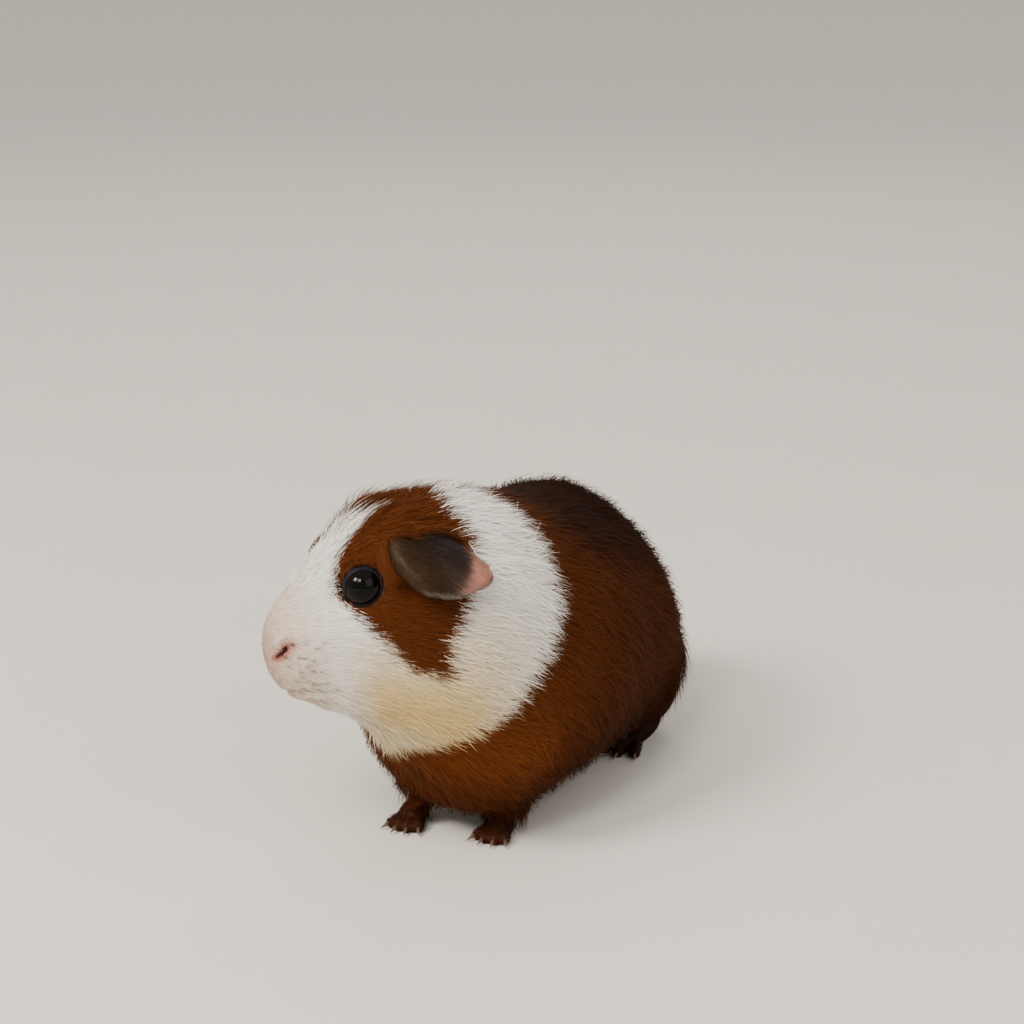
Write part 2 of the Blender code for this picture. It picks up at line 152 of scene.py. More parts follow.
def plainForm(distance, angle):
    centre, _, left, up = axesAt(distance)
    halfWidth, halfHeight, square = halfSizes(distance, np.sin(angle) >= 0)
    x = np.sign(np.cos(angle)) * np.abs(np.cos(angle)) ** (2 / square) * halfWidth
    z = np.sign(np.sin(angle)) * np.abs(np.sin(angle)) ** (2 / square) * halfHeight
    offset = (left * x[:, None] + up * z[:, None]) * endRounding(distance)[:, None] * mm
    return centre + offset, left * np.cos(angle)[:, None] + up * np.sin(angle)[:, None]


def onForm(distance, degrees):
    # points of the coat's outer form, at distances in mm and turns in degrees
    distance = np.atleast_1d(np.asarray(distance, dtype=float))
    angle = np.radians(np.atleast_1d(np.asarray(degrees, dtype=float))) + np.zeros_like(distance)
    points, outward = plainForm(distance, angle)
    back = axesAt(distance)[1]
    push = np.zeros(len(points))
    for place, turn, reachAlong, reachAcross, height in body["swellings"]:
        for mirrored in (turn, 180 - turn):
            middle, _ = plainForm(np.array([float(place)]), np.radians([float(mirrored)]))
            away = (points - middle) / mm
            along = dot(away, back)
            sideways = np.sqrt(np.maximum(dot(away, away) - along**2, 0))
            push += height * np.exp(-((along / reachAlong) ** 2) - (sideways / reachAcross) ** 2)
    return points + outward * push[:, None] * mm


# the eyes' places in the form; the solids carry them too, which tells where the form lies in the frame
eye = {
    "distance": 25.1,
    "height": 18.0,
    "radius": 5.4,
    "sunk": 2.5,
    "settled": 0.5,
    "look": (-0.12, 0.16),  # how far its axis turns back and up from straight out
    "corners": (-0.82, -0.57),  # how far back and up its front corner lies
    "thin": (6, 14),  # mm from its middle between which the coat grows to its full depth and length
}


def eyeMiddle(side):
    centre, _, left, up = (row[0] for row in axesAt(np.array([eye["distance"]])))
    degrees = np.arange(0, 90, 0.5)
    if side < 0:
        degrees = 180 - degrees
    rim = onForm(np.full(len(degrees), eye["distance"]), degrees) - centre
    nearest = np.argmin(np.abs(rim @ up - eye["height"] * mm))
    reach = rim[nearest] @ left - side * eye["sunk"] * mm
    return centre + left * reach + up * eye["height"] * mm


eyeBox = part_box("eye_left")
spine += (np.array(eyeBox[0]) + np.array(eyeBox[1])) / 2 - eyeMiddle(1)
skullBack, skullLeft, skullUp = (axis[0] for axis in axesAt(np.array([0.2]))[1:])
eyePlaces = {name: eyeMiddle(side) - skullLeft * side * eye["settled"] * mm for name, side in sides.items()}
noseTip = spine[0]


def bodyPlace(points):
    # the inverse of onForm: distance from the nose in mm, turn in degrees, and share of the way out
    nearest = np.empty(len(points), dtype=int)
    batch, stride, margin = 5000, 2, 0.02
    for start in range(0, len(points), batch):
        gap = points[start:start + batch, None] - spine[None, ::stride]
        nearest[start:start + batch] = np.einsum("ijk,ijk->ij", gap, gap).argmin(axis=1) * stride
    distance = spineKeys[nearest]
    centre, back, left, up = axesAt(distance)
    distance = np.clip(distance + dot(points - centre, back) / mm, margin, body["length"] - margin)
    centre, back, left, up = axesAt(distance)
    x = dot(points - centre, left) / mm
    z = dot(points - centre, up) / mm
    halfWidth, halfHeight, square = halfSizes(distance, z >= 0)
    rounding = endRounding(distance)
    shareX = np.abs(x) / (halfWidth * rounding)
    shareZ = np.abs(z) / (halfHeight * rounding)
    angle = np.arctan2(np.sign(z) * shareZ ** (square / 2), np.sign(x) * shareX ** (square / 2))
    out = (shareX**square + shareZ**square) ** (1 / square)
    return distance, np.degrees(angle), out


# how deep the coat lies over the skin, in mm: distance from the nose, depth
coatDepth = (
    (0, 0.35), (5, 0.6), (12, 1.0), (20, 1.5), (30, 2.2), (42, 3.2), (55, 4.2), (75, 5.0), (120, 5.2),
    (181, 4.6),
)


def depthAt(distance, points):
    depth = tableAt(coatDepth, distance)[:, 0]
    for middle in eyePlaces.values():
        away = np.linalg.norm(points - middle, axis=-1) / mm
        depth *= 0.5 + 0.5 * smooth(*eye["thin"], away)
    return depth


def eyeAxes(side):
    out = unit(skullLeft * side + skullBack * eye["look"][0] + skullUp * eye["look"][1])
    fore = unit(skullBack * eye["corners"][0] + skullUp * eye["corners"][1])
    fore = unit(fore - out * (fore @ out))
    return out, fore, np.cross(out, fore)


# the skin: the same form, sunk by the coat's depth, with the small forms of the face pressed in
skin = {
    "sides": 200,
    "noseStart": 0.05,
    "noseRings": 44,
    # the rings between the round nose and the rump, closer on the face, and where they change
    "rings": (56, 40, 58),
    "stations": (32, 60),
    "rumpRings": 44,
    "rumpTurn": 1.54,  # nearly a quarter turn, so that the last ring stays open
    "faceEnd": 40,
    # grooves and ridges: places along a line, half width in mm, height in mm, whether on both sides
    "relief": (
        (((3.5, 16.0), (4.5, 18.0), (5.5, 21.0)), 0.6, -1.2, True),  # nostril
        (((3.2, 28), (5.0, 30), (7.2, 29), (8.0, 20)), 0.6, 0.4, True),  # wing of the nose
        (((0.3, -90), (1.2, -90), (2.4, -90)), 0.35, -0.6, False),  # cleft of the lip
        (((2.4, -90), (2.8, -70), (4.6, -44), (7.4, -36), (11.5, -33)), 0.5, -1.3, True),  # mouth
        (((4.2, -90), (5.2, -66), (7.6, -52), (10.5, -46)), 0.9, 0.4, True),  # lower lip
    ),
}


# the hide rises over the rear of each eyeball, and dips under the ball inside its lids
mound = {
    "radius": 5.25,
    "blend": 1.6,
    "brow": 0.6,  # how much higher it is above the eye
    "browWay": (0.2, 0.9),
    "degrees": (60.0, 74.0),  # from the eye's axis, where it starts and is whole
    "reach": (14.0, 8.0),
}


def fromEye(points, name):
    # the way from the eye's middle in mm, its length, and its degrees from the eye's axis
    away = (points - eyePlaces[name]) / mm
    far = np.linalg.norm(away, axis=1)
    out = eyeAxes(sides[name])[0]
    return away, far, np.degrees(np.arccos(np.clip(away @ out / far, -1, 1)))


def riseRoundEyes(points):
    for name in sides:
        away, far, polar = fromEye(points, name)
        radius = mound["radius"] + mound["brow"] * smooth(*mound["browWay"], away @ skullUp / far)
        raised = (far + radius + np.sqrt((far - radius) ** 2 + mound["blend"] ** 2)) / 2
        share = smooth(*mound["degrees"], polar) * smooth(*mound["reach"], far)
        points = points + away * (((raised / far - 1) * share)[:, None] * mm)
    return points


def curvePoints(points, count):
    points = np.array(points, dtype=float)
    keys = np.arange(len(points), dtype=float)
    return hermite(keys, points, np.linspace(0, len(points) - 1, count))


def awayFromLine(points, line):
    away = np.full(len(points), np.inf)
    for start, end in zip(line, line[1:]):
        way = end - start
        share = np.clip((points - start) @ way / (way @ way), 0, 1)
        away = np.minimum(away, np.linalg.norm(points - start - share[:, None] * way, axis=1))
    return away / mm


def skinGrid():
    nose, rump = body["noseRound"], body["length"] - body["rumpRound"]
    stations = (nose, *skin["stations"], rump)
    at = [nose * np.linspace(skin["noseStart"], 1, skin["noseRings"], endpoint=False) ** 2]
    for start, end, rings in zip(stations, stations[1:], skin["rings"]):
        at.append(np.linspace(start, end, rings, endpoint=False))
    at.append(rump + body["rumpRound"] * np.sin(np.linspace(0, 1, skin["rumpRings"]) * skin["rumpTurn"]))
    at = np.concatenate(at)
    degrees = np.linspace(0, 360, skin["sides"], endpoint=False)
    grid = np.array([onForm(np.full(len(degrees), distance), degrees) for distance in at])
    around = np.roll(grid, -1, axis=1) - np.roll(grid, 1, axis=1)
    normals = unit(np.cross(np.gradient(grid, axis=0), around))
    points = grid.reshape(-1, 3)
    normals = normals.reshape(-1, 3)
    distance = np.repeat(at, len(degrees))
    push = -depthAt(distance, points)
    face = distance < skin["faceEnd"]
    for places, halfWidth, height, both in skin["relief"]:
        along, turns = curvePoints(places, 24).T
        for turned in (turns, 180 - turns)[:2 if both else 1]:
            away = awayFromLine(points[face], onForm(along, turned))
            push[face] += height * np.exp(-((away / halfWidth) ** 2))
    return riseRoundEyes(points + normals * push[:, None] * mm).reshape(len(at), len(degrees), 3)


def placed(name, data):
    thing = bpy.data.objects.new(name, data)
    bpy.context.scene.collection.objects.link(thing)
    return thing


def newObject(name, points, faces, materials=()):
    mesh = bpy.data.meshes.new(name)
    mesh.from_pydata(np.asarray(points).tolist(), [], faces)
    for material in materials:
        mesh.materials.append(material)
    mesh.shade_smooth()
    return placed(name, mesh)


def loftFaces(rows, around, closed=True):
    i, j = np.meshgrid(np.arange(rows - 1), np.arange(around if closed else around - 1), indexing="ij")
    a = i * around + j
    b = i * around + (j + 1) % around
    return np.stack((a, a + around, b + around, b), axis=-1).reshape(-1, 4).tolist()


def closedObject(name, points, faces):
    # a closed mesh whose faces all look outward
    thing = newObject(name, points, faces)
    shape = bmesh.new()
    shape.from_mesh(thing.data)
    bmesh.ops.recalc_face_normals(shape, faces=shape.faces[:])
    bmesh.ops.triangulate(shape, faces=[face for face in shape.faces if len(face.verts) > 4])
    shape.to_mesh(thing.data)
    shape.free()
    return thing


def closedLoft(name, grid):
    rows, around = grid.shape[:2]
    faces = loftFaces(rows, around)
    faces.append(list(range(around)))
    faces.append(list(range(rows * around - 1, (rows - 1) * around - 1, -1)))
    return closedObject(name, grid.reshape(-1, 3), faces)


def applyModifiers(thing):
    shown = thing.evaluated_get(bpy.context.evaluated_depsgraph_get())
    mesh = bpy.data.meshes.new_from_object(shown)
    thing.modifiers.clear()
    thing.data = mesh


def remesh(thing, voxel, rounds):
    step = thing.modifiers.new("remesh", "REMESH")
    step.mode = "VOXEL"
    step.voxel_size = voxel * mm
    step.use_smooth_shade = True
    soften = thing.modifiers.new("soften", "SMOOTH")
    soften.factor = 0.5
    soften.iterations = rounds
    applyModifiers(thing)


def joinInto(thing, others):
    for other in others:
        step = thing.modifiers.new(other.name, "BOOLEAN")
        step.operation = "UNION"
        step.solver = "EXACT"
        step.object = other
    applyModifiers(thing)
    for other in others:
        bpy.data.objects.remove(other, do_unlink=True)


# the legs under their coat, as upright columns: height, out, along Y, half width, half length, in mm
legs = {
    "fore": (
        (2.5, 12.5, -17.5, 2.6, 3.0), (6, 12.6, -16.5, 3.0, 3.4), (11, 13.2, -15, 3.6, 4.4),
        (17, 15.5, -12, 5.2, 6.2), (25, 17.5, -7.5, 6.8, 8.4), (34, 18.5, -3.5, 7.0, 9),
    ),
    "hind": (
        (2.5, 24, 74, 3.2, 4.5), (6, 25, 71, 4.4, 7.5), (11, 25.5, 66, 7.5, 13),
        (18, 25.5, 62, 9.5, 17), (30, 24, 60, 10, 19), (44, 20, 61, 8, 14),
    ),
    "hindMiddle": -1.5,
    "levels": 26,
    "around": 40,
    "footRound": 0.1,  # shares of the height that are rounded off
    "topRound": 0.25,
    "roundest": 0.98,
    "voxel": 0.62,
    "softenings": 4,
}
feet = {
    "fore": {
        "left": (12.0, -17.0), "right": (-13.5, -19.5), "radii": (3.9, 5.0, 3.0),
        "toes": (-27, -9, 9, 27), "toeLength": 4.2,
    },
    "hind": {
        "left": (22.5, 66.0), "right": (-25.5, 65.0), "radii": (4.7, 14.0, 3.3),
        "toes": (-17, 0, 17), "toeLength": 7.0,
    },
    "rings": 22,
    "around": 40,
    "overFloor": 0.15,
    # the toes' knuckles, as shares of the foot: spread across, reach forward, how that curves back
    "knuckles": (0.68, 0.88, 0.5),
    "knuckleHeight": 1.15,
    "toeRoot": 0.35,
    # along each toe: shift forward, rise, share of its radius
    "toe": (
        (0, 0.7, 1.0), (-0.8, 0.25, 1.05), (0, 0.2, 1.08), (0, 0.15, 0.92), (-0.7, -0.15, 0.95),
        (0, -0.2, 0.75), (0.45, -0.25, 0.35),
    ),
    "toeRadius": 1.55,
    "toeAround": 20,
    "clawLength": 3.6,
    "clawStart": (-0.5, -0.1),  # along the toe and up, from its tip
    "clawRadius": 0.62,
    "clawTaper": (0.9, 1.6),
    "clawDroop": 0.9,
    "clawTall": 1.2,
    "clawLowest": 0.05,
}
frameShift = spine[0] - np.array(body["nose"]) * mm


def column(name, kind, side):
    middle = legs["hindMiddle"] if kind == "hind" else 0.0
    heights = np.linspace(legs[kind][0][0], legs[kind][-1][0], legs["levels"])
    out, along, halfWidth, halfLength = tableAt(legs[kind], heights).T
    share = (heights - heights[0]) / (heights[-1] - heights[0])
    rounding = np.sqrt(1 - np.clip(1 - share / legs["footRound"], 0, legs["roundest"]) ** 2)
    rounding *= np.sqrt(1 - np.clip(1 - (1 - share) / legs["topRound"], 0, legs["roundest"]) ** 2)
    turns = fullTurn(legs["around"])
    grid = np.empty((len(heights), len(turns), 3))
    grid[:, :, 0] = (middle + side * out)[:, None] + (halfWidth * rounding)[:, None] * np.cos(turns)
    grid[:, :, 1] = along[:, None] + (halfLength * rounding)[:, None] * np.sin(turns)
    grid[:, :, 2] = heights[:, None]
    return closedLoft(name, grid * mm + frameShift)


def rodGrid(points, radii, around):
    # rings round a line of points, flat at the ends
    points = np.asarray(points, dtype=float)
    ways = unit(np.gradient(points, axis=0))
    side = unit(np.cross(ways, (0.0, 0.0, 1.0)))
    up = np.cross(side, ways)
    turns = fullTurn(around)
    ring = side[:, None] * np.cos(turns)[None, :, None] + up[:, None] * np.sin(turns)[None, :, None]
    return points[:, None] + ring * np.asarray(radii)[:, None, None]


def toeLines(kind, name):
    # each toe's root, knuckle and tip, and the way it points
    place, (width, length, _) = feet[kind][name], feet[kind]["radii"]
    turns = feet[kind]["toes"]
    spread, reach, curve = feet["knuckles"]
    for degrees in turns:
        turn = math.radians(degrees)
        way = np.array((math.sin(turn), -math.cos(turn), 0.0))
        x = place[0] + width * spread * math.sin(turn) / math.sin(math.radians(max(turns)))
        y = place[1] - length * (reach - curve * (1 - math.cos(turn * 2)))
        knuckle = np.array((x, y, feet["toeRadius"] * feet["knuckleHeight"]))
        root = knuckle - way * length * feet["toeRoot"]
        yield root, knuckle, knuckle + way * feet[kind]["toeLength"], way


def footShape(kind, name):
    place, radii = feet[kind][name], feet[kind]["radii"]
    nearPole = math.pi / 2 - 0.02
    turns = np.linspace(-nearPole, nearPole, feet["rings"])
    around = fullTurn(feet["around"])
    grid = np.empty((len(turns), len(around), 3))
    grid[:, :, 0] = place[0] + radii[0] * np.cos(turns)[:, None] * np.cos(around)
    grid[:, :, 1] = place[1] + radii[1] * np.cos(turns)[:, None] * np.sin(around)
    grid[:, :, 2] = radii[2] + feet["overFloor"] + radii[2] * np.sin(turns)[:, None]
    parts = [closedLoft(f"sole_{kind}_{name}", grid * mm + frameShift)]
    shift, rise, girth = np.array(feet["toe"]).T
    for number, (root, knuckle, tip, way) in enumerate(toeLines(kind, name)):
        line = np.array((root, knuckle, knuckle, (knuckle + tip) / 2, tip, tip, tip)) + way * shift[:, None]
        line[:, 2] += rise
        toe = rodGrid(line * mm + frameShift, girth * feet["toeRadius"] * mm, feet["toeAround"])
        parts.append(closedLoft(f"toe_{number}", toe))
    return parts


def limb(kind, name):
    shape = bmesh.new()
    for part in [column(f"{kind}leg_{name}", kind, sides[name])] + footShape(kind, name):
        shape.from_mesh(part.data)
        bpy.data.objects.remove(part, do_unlink=True)
    mesh = bpy.data.meshes.new("limb")
    shape.to_mesh(mesh)
    shape.free()
    thing = placed(f"limb_{kind}_{name}", mesh)
    remesh(thing, legs["voxel"], legs["softenings"])
    return thing


# the ears, in mm: back and up along the skull, and out from the head's side
ear = {
    "root": (
        (37.5, 23.0, -1.6), (40.2, 25.9, -1.8), (46.1, 26.1, -1.8), (51.8, 22.5, -1.8), (55.2, 17.7, -1.4),
    ),
    "edge": (
        (36.8, 21.5, 1.5), (37.6, 18.9, 5.0), (42.0, 13.9, 7.5),
        (51.2, 10.5, 7.5), (59.1, 10.4, 6.5), (59.9, 13.6, 4.5),
    ),
    "joints": 11,
    "swing": math.radians(35),
    "swell": 3.5,
    "swellWay": (0.9, 0.4),  # out and up
    "swellLow": 1.1,  # above 1, it is fullest nearer the edge
    "swellEnds": 0.25,
    "rootThickness": 1.5,
    "rimThickness": 0.45,
    "thinning": 0.7,
    "roundEnds": 0.03,
    "across": 72,
    "along": 44,
    "wave": 0.22,  # how far the rim waves, in mm
    "waves": ((31, 0, 0.6), (57, 1, 0.4)),  # how fast, starting where, share of it
    "notch": (0.93, 0.035, 1.1),  # the nick by the rear tip: place, reach, depth in mm
    # along the rim from front to rear, share of the way from root to rim, reach of both, height in mm
    "relief": (
        (0.20, 0.55, 0.15, 0.30, 0.9),  # the front lobe
        (0.46, 0.18, 0.12, 0.30, -2.6),  # the hollow that leads to the ear's opening
        (0.60, 0.60, 0.06, 0.35, 0.7),  # the fold behind it
        (0.70, 0.72, 0.05, 0.30, -0.8),
        (0.85, 0.55, 0.08, 0.30, 0.9),  # the bare rear lobe
        (0.90, 1.00, 0.07, 0.12, 1.1),  # its rim curls out
    ),
    "reliefWay": (0.95, 0.3),  # out and up
    # place, reach, how close along the ear and across it, height in mm
    "creases": (0.86, 0.09, 56.0, 20, 0.10),
    "creasesFrom": 0.3,
}


def onHead(places, side):
    distances = np.arange(eye["distance"], 90, 0.25)
    degrees = np.arange(-45, 90, 0.5)
    if side < 0:
        degrees = 180 - degrees
    grid = np.concatenate([onForm(np.full(len(degrees), distance), degrees) for distance in distances])
    back, up = (grid - noseTip) @ skullBack / mm, (grid - noseTip) @ skullUp / mm
    found = []
    for placeBack, placeUp, height in places:
        near = (back - placeBack) ** 2 + (up - placeUp) ** 2
        found.append(grid[np.argmin(near)] + skullLeft * side * height * mm)
    return np.array(found)


def earSheet(side):
    # a petal that swells outward from its root and droops to a thin free edge
    across = np.linspace(0, 1, ear["across"])
    keys = np.linspace(0, 1, ear["joints"])
    root, edge = (
        hermite(keys, onHead(curvePoints(ear[line], ear["joints"]), 1), across) for line in ("root", "edge")
    )
    fullness = np.sin(ear["swellEnds"] + across * (math.pi - 2 * ear["swellEnds"]))[:, None]
    share = np.linspace(0, 1, ear["along"])[:, None, None]
    swell = (skullLeft * ear["swellWay"][0] + skullUp * ear["swellWay"][1]) * ear["swell"] * mm
    sheet = root + (edge - root) * share + swell * np.sin(math.pi * share ** ear["swellLow"]) * fullness
    v = share[:, :, 0]
    wave = ear["wave"] * sum(np.sin(across * fast + start) * part for fast, start, part in ear["waves"])
    place, wide, depth = ear["notch"]
    nick = depth * bell(across, place, wide)
    sheet -= unit(edge - root) * (v**3 * (wave + nick))[:, :, None] * mm
    relief = np.zeros(sheet.shape[:2])
    for place, deep, wide, long, height in ear["relief"]:
        relief += height * bell(across, place, wide) * bell(v, deep, long)
    place, wide, close, slant, height = ear["creases"]
    crease = np.sin(v * close + across * slant) * smooth(0, ear["creasesFrom"], v)
    relief += height * crease * bell(across, place, wide)
    sheet += unit(skullLeft * ear["reliefWay"][0] + skullUp * ear["reliefWay"][1]) * relief[:, :, None] * mm
    if side < 0:
        away = sheet - root[0]
        away -= 2 * (away @ skullLeft)[:, :, None] * skullLeft
        swing = np.array(Matrix.Rotation(ear["swing"], 3, Vector(skullUp)))
        sheet = onHead(ear["root"][:1], -1)[0] + away @ swing.T
    return sheet


def earShape(name):
    sheet = earSheet(sides[name])
    normals = unit(np.cross(np.gradient(sheet, axis=0), np.gradient(sheet, axis=1)))
    share = np.linspace(0, 1, ear["along"])
    thick, thin = ear["rootThickness"], ear["rimThickness"]
    thickness = thick + (thin - thick) * share ** ear["thinning"]
    across = np.linspace(0, 1, ear["across"])
    ends = np.sqrt(1 - np.clip(1 - np.minimum(across, 1 - across) / ear["roundEnds"], 0, 0.9) ** 2)
    half = normals * thickness[:, None, None] * mm * ends[None, :, None] / 2
    grid = np.concatenate((sheet + half, (sheet - half)[:, ::-1]), axis=1)
    rows, around = grid.shape[:2]
    faces = loftFaces(rows, around)
    for base in (0, (rows - 1) * around):
        for i in range(ear["across"] - 1):
            faces.append([base + i, base + i + 1, base + around - 2 - i, base + around - 1 - i])
    return closedObject(f"petal_{name}", grid.reshape(-1, 3), faces)


# the lids: a bare rim that hugs the eyeball and opens in a slightly almond round
lids = {
    "opening": 53.0,  # degrees from the eye's axis to the lids' edge
    "corner": 19.0,  # more of them toward the front corner
    "rear": 3.0,  # and toward the rear one
    "sharp": (9, 6),  # how sharp these corners are
    "thickness": 0.6,
    "around": 128,
    # degrees back from the edge, height over the eyeball as a share of the thickness
    "section": (
        (0, -0.6), (0, 0.1), (1.5, 0.5), (4, 0.72), (6.5, 0.66), (8.5, 0.6), (10.5, 0.7), (13, 0.6),
        (17, 0.2), (25, -0.3), (40, -0.8), (42, -2.8), (30, -3.0), (10, -3.0),
    ),
}


def lidShape(name):
    out, fore, across = eyeAxes(sides[name])
    count = lids["around"]
    turns = fullTurn(count)
    corner = lids["corner"] * np.clip(np.cos(turns), 0, 1) ** lids["sharp"][0]
    corner = corner + lids["rear"] * np.clip(-np.cos(turns), 0, 1) ** lids["sharp"][1]
    ring = fore * np.cos(turns)[:, None] + across * np.sin(turns)[:, None]
    rows = []
    for back, height in lids["section"]:
        polar = np.radians(lids["opening"] + corner + back)[:, None]
        radius = eye["radius"] + height * lids["thickness"]
        rows.append(eyePlaces[name] + (out * np.cos(polar) + ring * np.sin(polar)) * radius * mm)
    faces = loftFaces(len(rows), count)
    last = (len(rows) - 1) * count
    faces += [[last + i, i, (i + 1) % count, last + (i + 1) % count] for i in range(count)]
    return closedObject(f"lids_{name}", np.array(rows).reshape(-1, 3), faces)


# what the skin is at each place: its own material for hide, limbs, ears and lids
skinKinds = ("hide", "limb", "ear", "lids")


def setKind(thing, kind):
    thing.data.materials.clear()
    for name in skinKinds:
        thing.data.materials.append(skinMaterials[name])
    thing.data.polygons.foreach_set("material_index", [skinKinds.index(kind)] * len(thing.data.polygons))
    return thing


def toLinear(hexColour):
    parts = [int(hexColour[i:i + 2], 16) / 255 for i in (1, 3, 5)]
    return tuple(p / 12.92 if p <= 0.04045 else ((p + 0.055) / 1.055) ** 2.4 for p in parts) + (1.0,)


def addNode(tree, kind, inputs=None, output=0, stops=(), **settings):
    # stops are a colour ramp's places and colours
    node = tree.nodes.new("ShaderNode" + kind)
    for name, value in settings.items():
        setattr(node, name, value)
    for number, (place, colour) in enumerate(stops):
        marks = node.color_ramp.elements
        mark = marks[number] if number < 2 else marks.new(place)
        mark.position = place
        mark.color = toLinear(colour)
    for name, value in (inputs or {}).items():
        if isinstance(value, bpy.types.NodeSocket):
            tree.links.new(value, node.inputs[name])
        else:
            node.inputs[name].default_value = toLinear(value) if isinstance(value, str) else value
    return node.outputs[output]


def newMaterial(name, look, nodes=None):
    # A look has the shader's settings; the values that points carry for it; patterns, each with its kind,
    # the size of its features in mm, inputs and settings; a pair of colours that one of these mixes; and
    # bumps, with the pattern, depth in mm and strength. What nodes gives is linked to the shader.
    material = bpy.data.materials.new(name)
    material.use_nodes = True
    tree = material.node_tree
    shader = tree.nodes["Principled BSDF"]
    for socket, value in look["shader"].items():
        shader.inputs[socket].default_value = value
    value = {}
    for key in look.get("carried", ()):
        value[key] = addNode(tree, "Attribute", output="Fac", attribute_name=key)
    for key, (kind, size, inputs, settings) in look.get("patterns", {}).items():
        place = addNode(tree, "TexCoord", output="Object")
        value[key] = addNode(tree, kind, {"Vector": place, "Scale": 1 / (size * mm), **inputs}, **settings)
    links = nodes(tree, value) if nodes else {}
    if "colours" in look:
        factor, low, high = look["colours"]
        links["Base Color"] = addNode(tree, "Mix", {0: value[factor], 6: low, 7: high}, 2, data_type="RGBA")
    for key, depth, strength in look.get("bumps", ()):
        bump = {"Height": value[key], "Distance": depth * mm, "Strength": strength}
        if "Normal" in links:
            bump["Normal"] = links["Normal"]
        links["Normal"] = addNode(tree, "Bump", bump)
    for socket, output in links.items():
        tree.links.new(output, shader.inputs[socket])
    return material


coatColours = {
    # place on the scale of shade, colour
    "brown": ((0.0, "#130803"), (0.45, "#371a0a"), (1.0, "#693717")),
    "white": "#f3efe6",
    "cream": "#d8be82",
    # what each of these carried values mixes in: pink round the nostrils, the ears' hair, their fringe
    "others": (("red", "#dfb3a2"), ("fuzz", "#30261a"), ("pale", "#b9b2a8")),
}


def markingColour(tree, value):
    brown = addNode(tree, "ValToRGB", {"Fac": value["shade"]}, stops=coatColours["brown"])
    white = {0: value["cream"], 6: coatColours["white"], 7: coatColours["cream"]}
    white = addNode(tree, "Mix", white, 2, data_type="RGBA")
    return addNode(tree, "Mix", {0: value["brown"], 6: white, 7: brown}, 2, data_type="RGBA")


# guard hair, grown keratin: fine and soft, with hardly any gloss. Each hair has its own tone, and is
# darker toward its root with painted shade, which gives the coat its depth
hairLook = {
    "shader": {"IOR": 1.55, "Roughness": 0.7, "Specular IOR Level": 0.03},
    "carried": ("brown", "shade", "cream", "tone", "along", "fuzz", "pale", "red", "dark"),
    # carried value, strength of the colour where it is 0 and where it is 1
    # along is painted shade toward each root; dark is painted shade on the whisker specks and in the
    # ears' hollow, and also darkens the hair over the ears' middle and rear
    "strengths": (("tone", 0.76, 1.14), ("along", 0.74, 1.06), ("dark", 1.0, 0.28)),
}


def hairNodes(tree, value):
    colour = markingColour(tree, value)
    for name, other in coatColours["others"]:
        colour = addNode(tree, "Mix", {0: value[name], 6: colour, 7: other}, 2, data_type="RGBA")
    # these strengths paint shade toward each root, on the whisker specks and in the ears' hollow
    for name, low, high in hairLook["strengths"]:
        strength = addNode(tree, "MapRange", {"Value": value[name], "To Min": low, "To Max": high})
        colour = addNode(tree, "VectorMath", {0: colour, "Scale": strength}, operation="SCALE")
    return {"Base Color": colour}


# thin hide under the coat: pale or brown as the hair is, pink and pebbled where it is bare round the
# nostrils, dark red inside them, which is red skin deepened with painted shade; painted shade also darkens
# it a little under the coat and much more on the whiskers' specks
hideLook = {
    "shader": {"IOR": 1.4, "Specular IOR Level": 0.3},
    "carried": ("brown", "shade", "cream", "bare", "red", "dark"),
    "patterns": {"mottle": ("TexNoise", 2.5, {"Detail": 4.0}, {}), "pore": ("TexVoronoi", 0.35, {}, {})},
    "bumps": (("pore", 0.08, 0.6),),
    "bare": ("#b57c6a", "#8f4f40"),
    # the slits' dark red: red skin of the nostrils and mouth, deepened with painted shade
    "red": "#380c08",
    "strength": (0.82, 0.3),  # of its colour: a little less under the coat and far less on the whisker specks, both painted shade
    "roughness": (0.72, 0.42),  # under hair and bare
}


def hideNodes(tree, value):
    bare = {0: value["mottle"], 6: hideLook["bare"][0], 7: hideLook["bare"][1]}
    bare = addNode(tree, "Mix", bare, 2, data_type="RGBA")
    colour = markingColour(tree, value)
    # mixes in the bare pink, then the slits' red, deepened with painted shade
    for factor, other in ((value["bare"], bare), (value["red"], hideLook["red"])):
        colour = addNode(tree, "Mix", {0: factor, 6: colour, 7: other}, 2, data_type="RGBA")
    # painted shade: a little over all the hide under the coat, much more on the whisker specks
    strength, roughness = (
        addNode(tree, "MapRange", {"Value": value[key], "To Min": low, "To Max": high})
        for key, (low, high) in (("dark", hideLook["strength"]), ("bare", hideLook["roughness"]))
    )
    colour = addNode(tree, "VectorMath", {0: colour, "Scale": strength}, operation="SCALE")
    return {"Base Color": colour, "Roughness": roughness}


# bare leather of the feet: dark brown, creased across and dull; painted shade darkens the low of
# each crease
footLook = {
    "shader": {"IOR": 1.4, "Roughness": 0.6, "Specular IOR Level": 0.3},
    "patterns": {
        "grain": ("TexVoronoi", 0.3, {}, {}),
        "crease": (
            "TexWave", 5.4, {"Distortion": 3.0, "Detail": 2.0}, {"output": "Fac", "bands_direction": "Y"},
        ),
    },
    # the crease pattern's low parts get the dark colour: painted shade
    "colours": ("crease", "#1f110a", "#3a2216"),
    "bumps": (("crease", 0.15, 1.0), ("grain", 0.06, 1.0)),
}

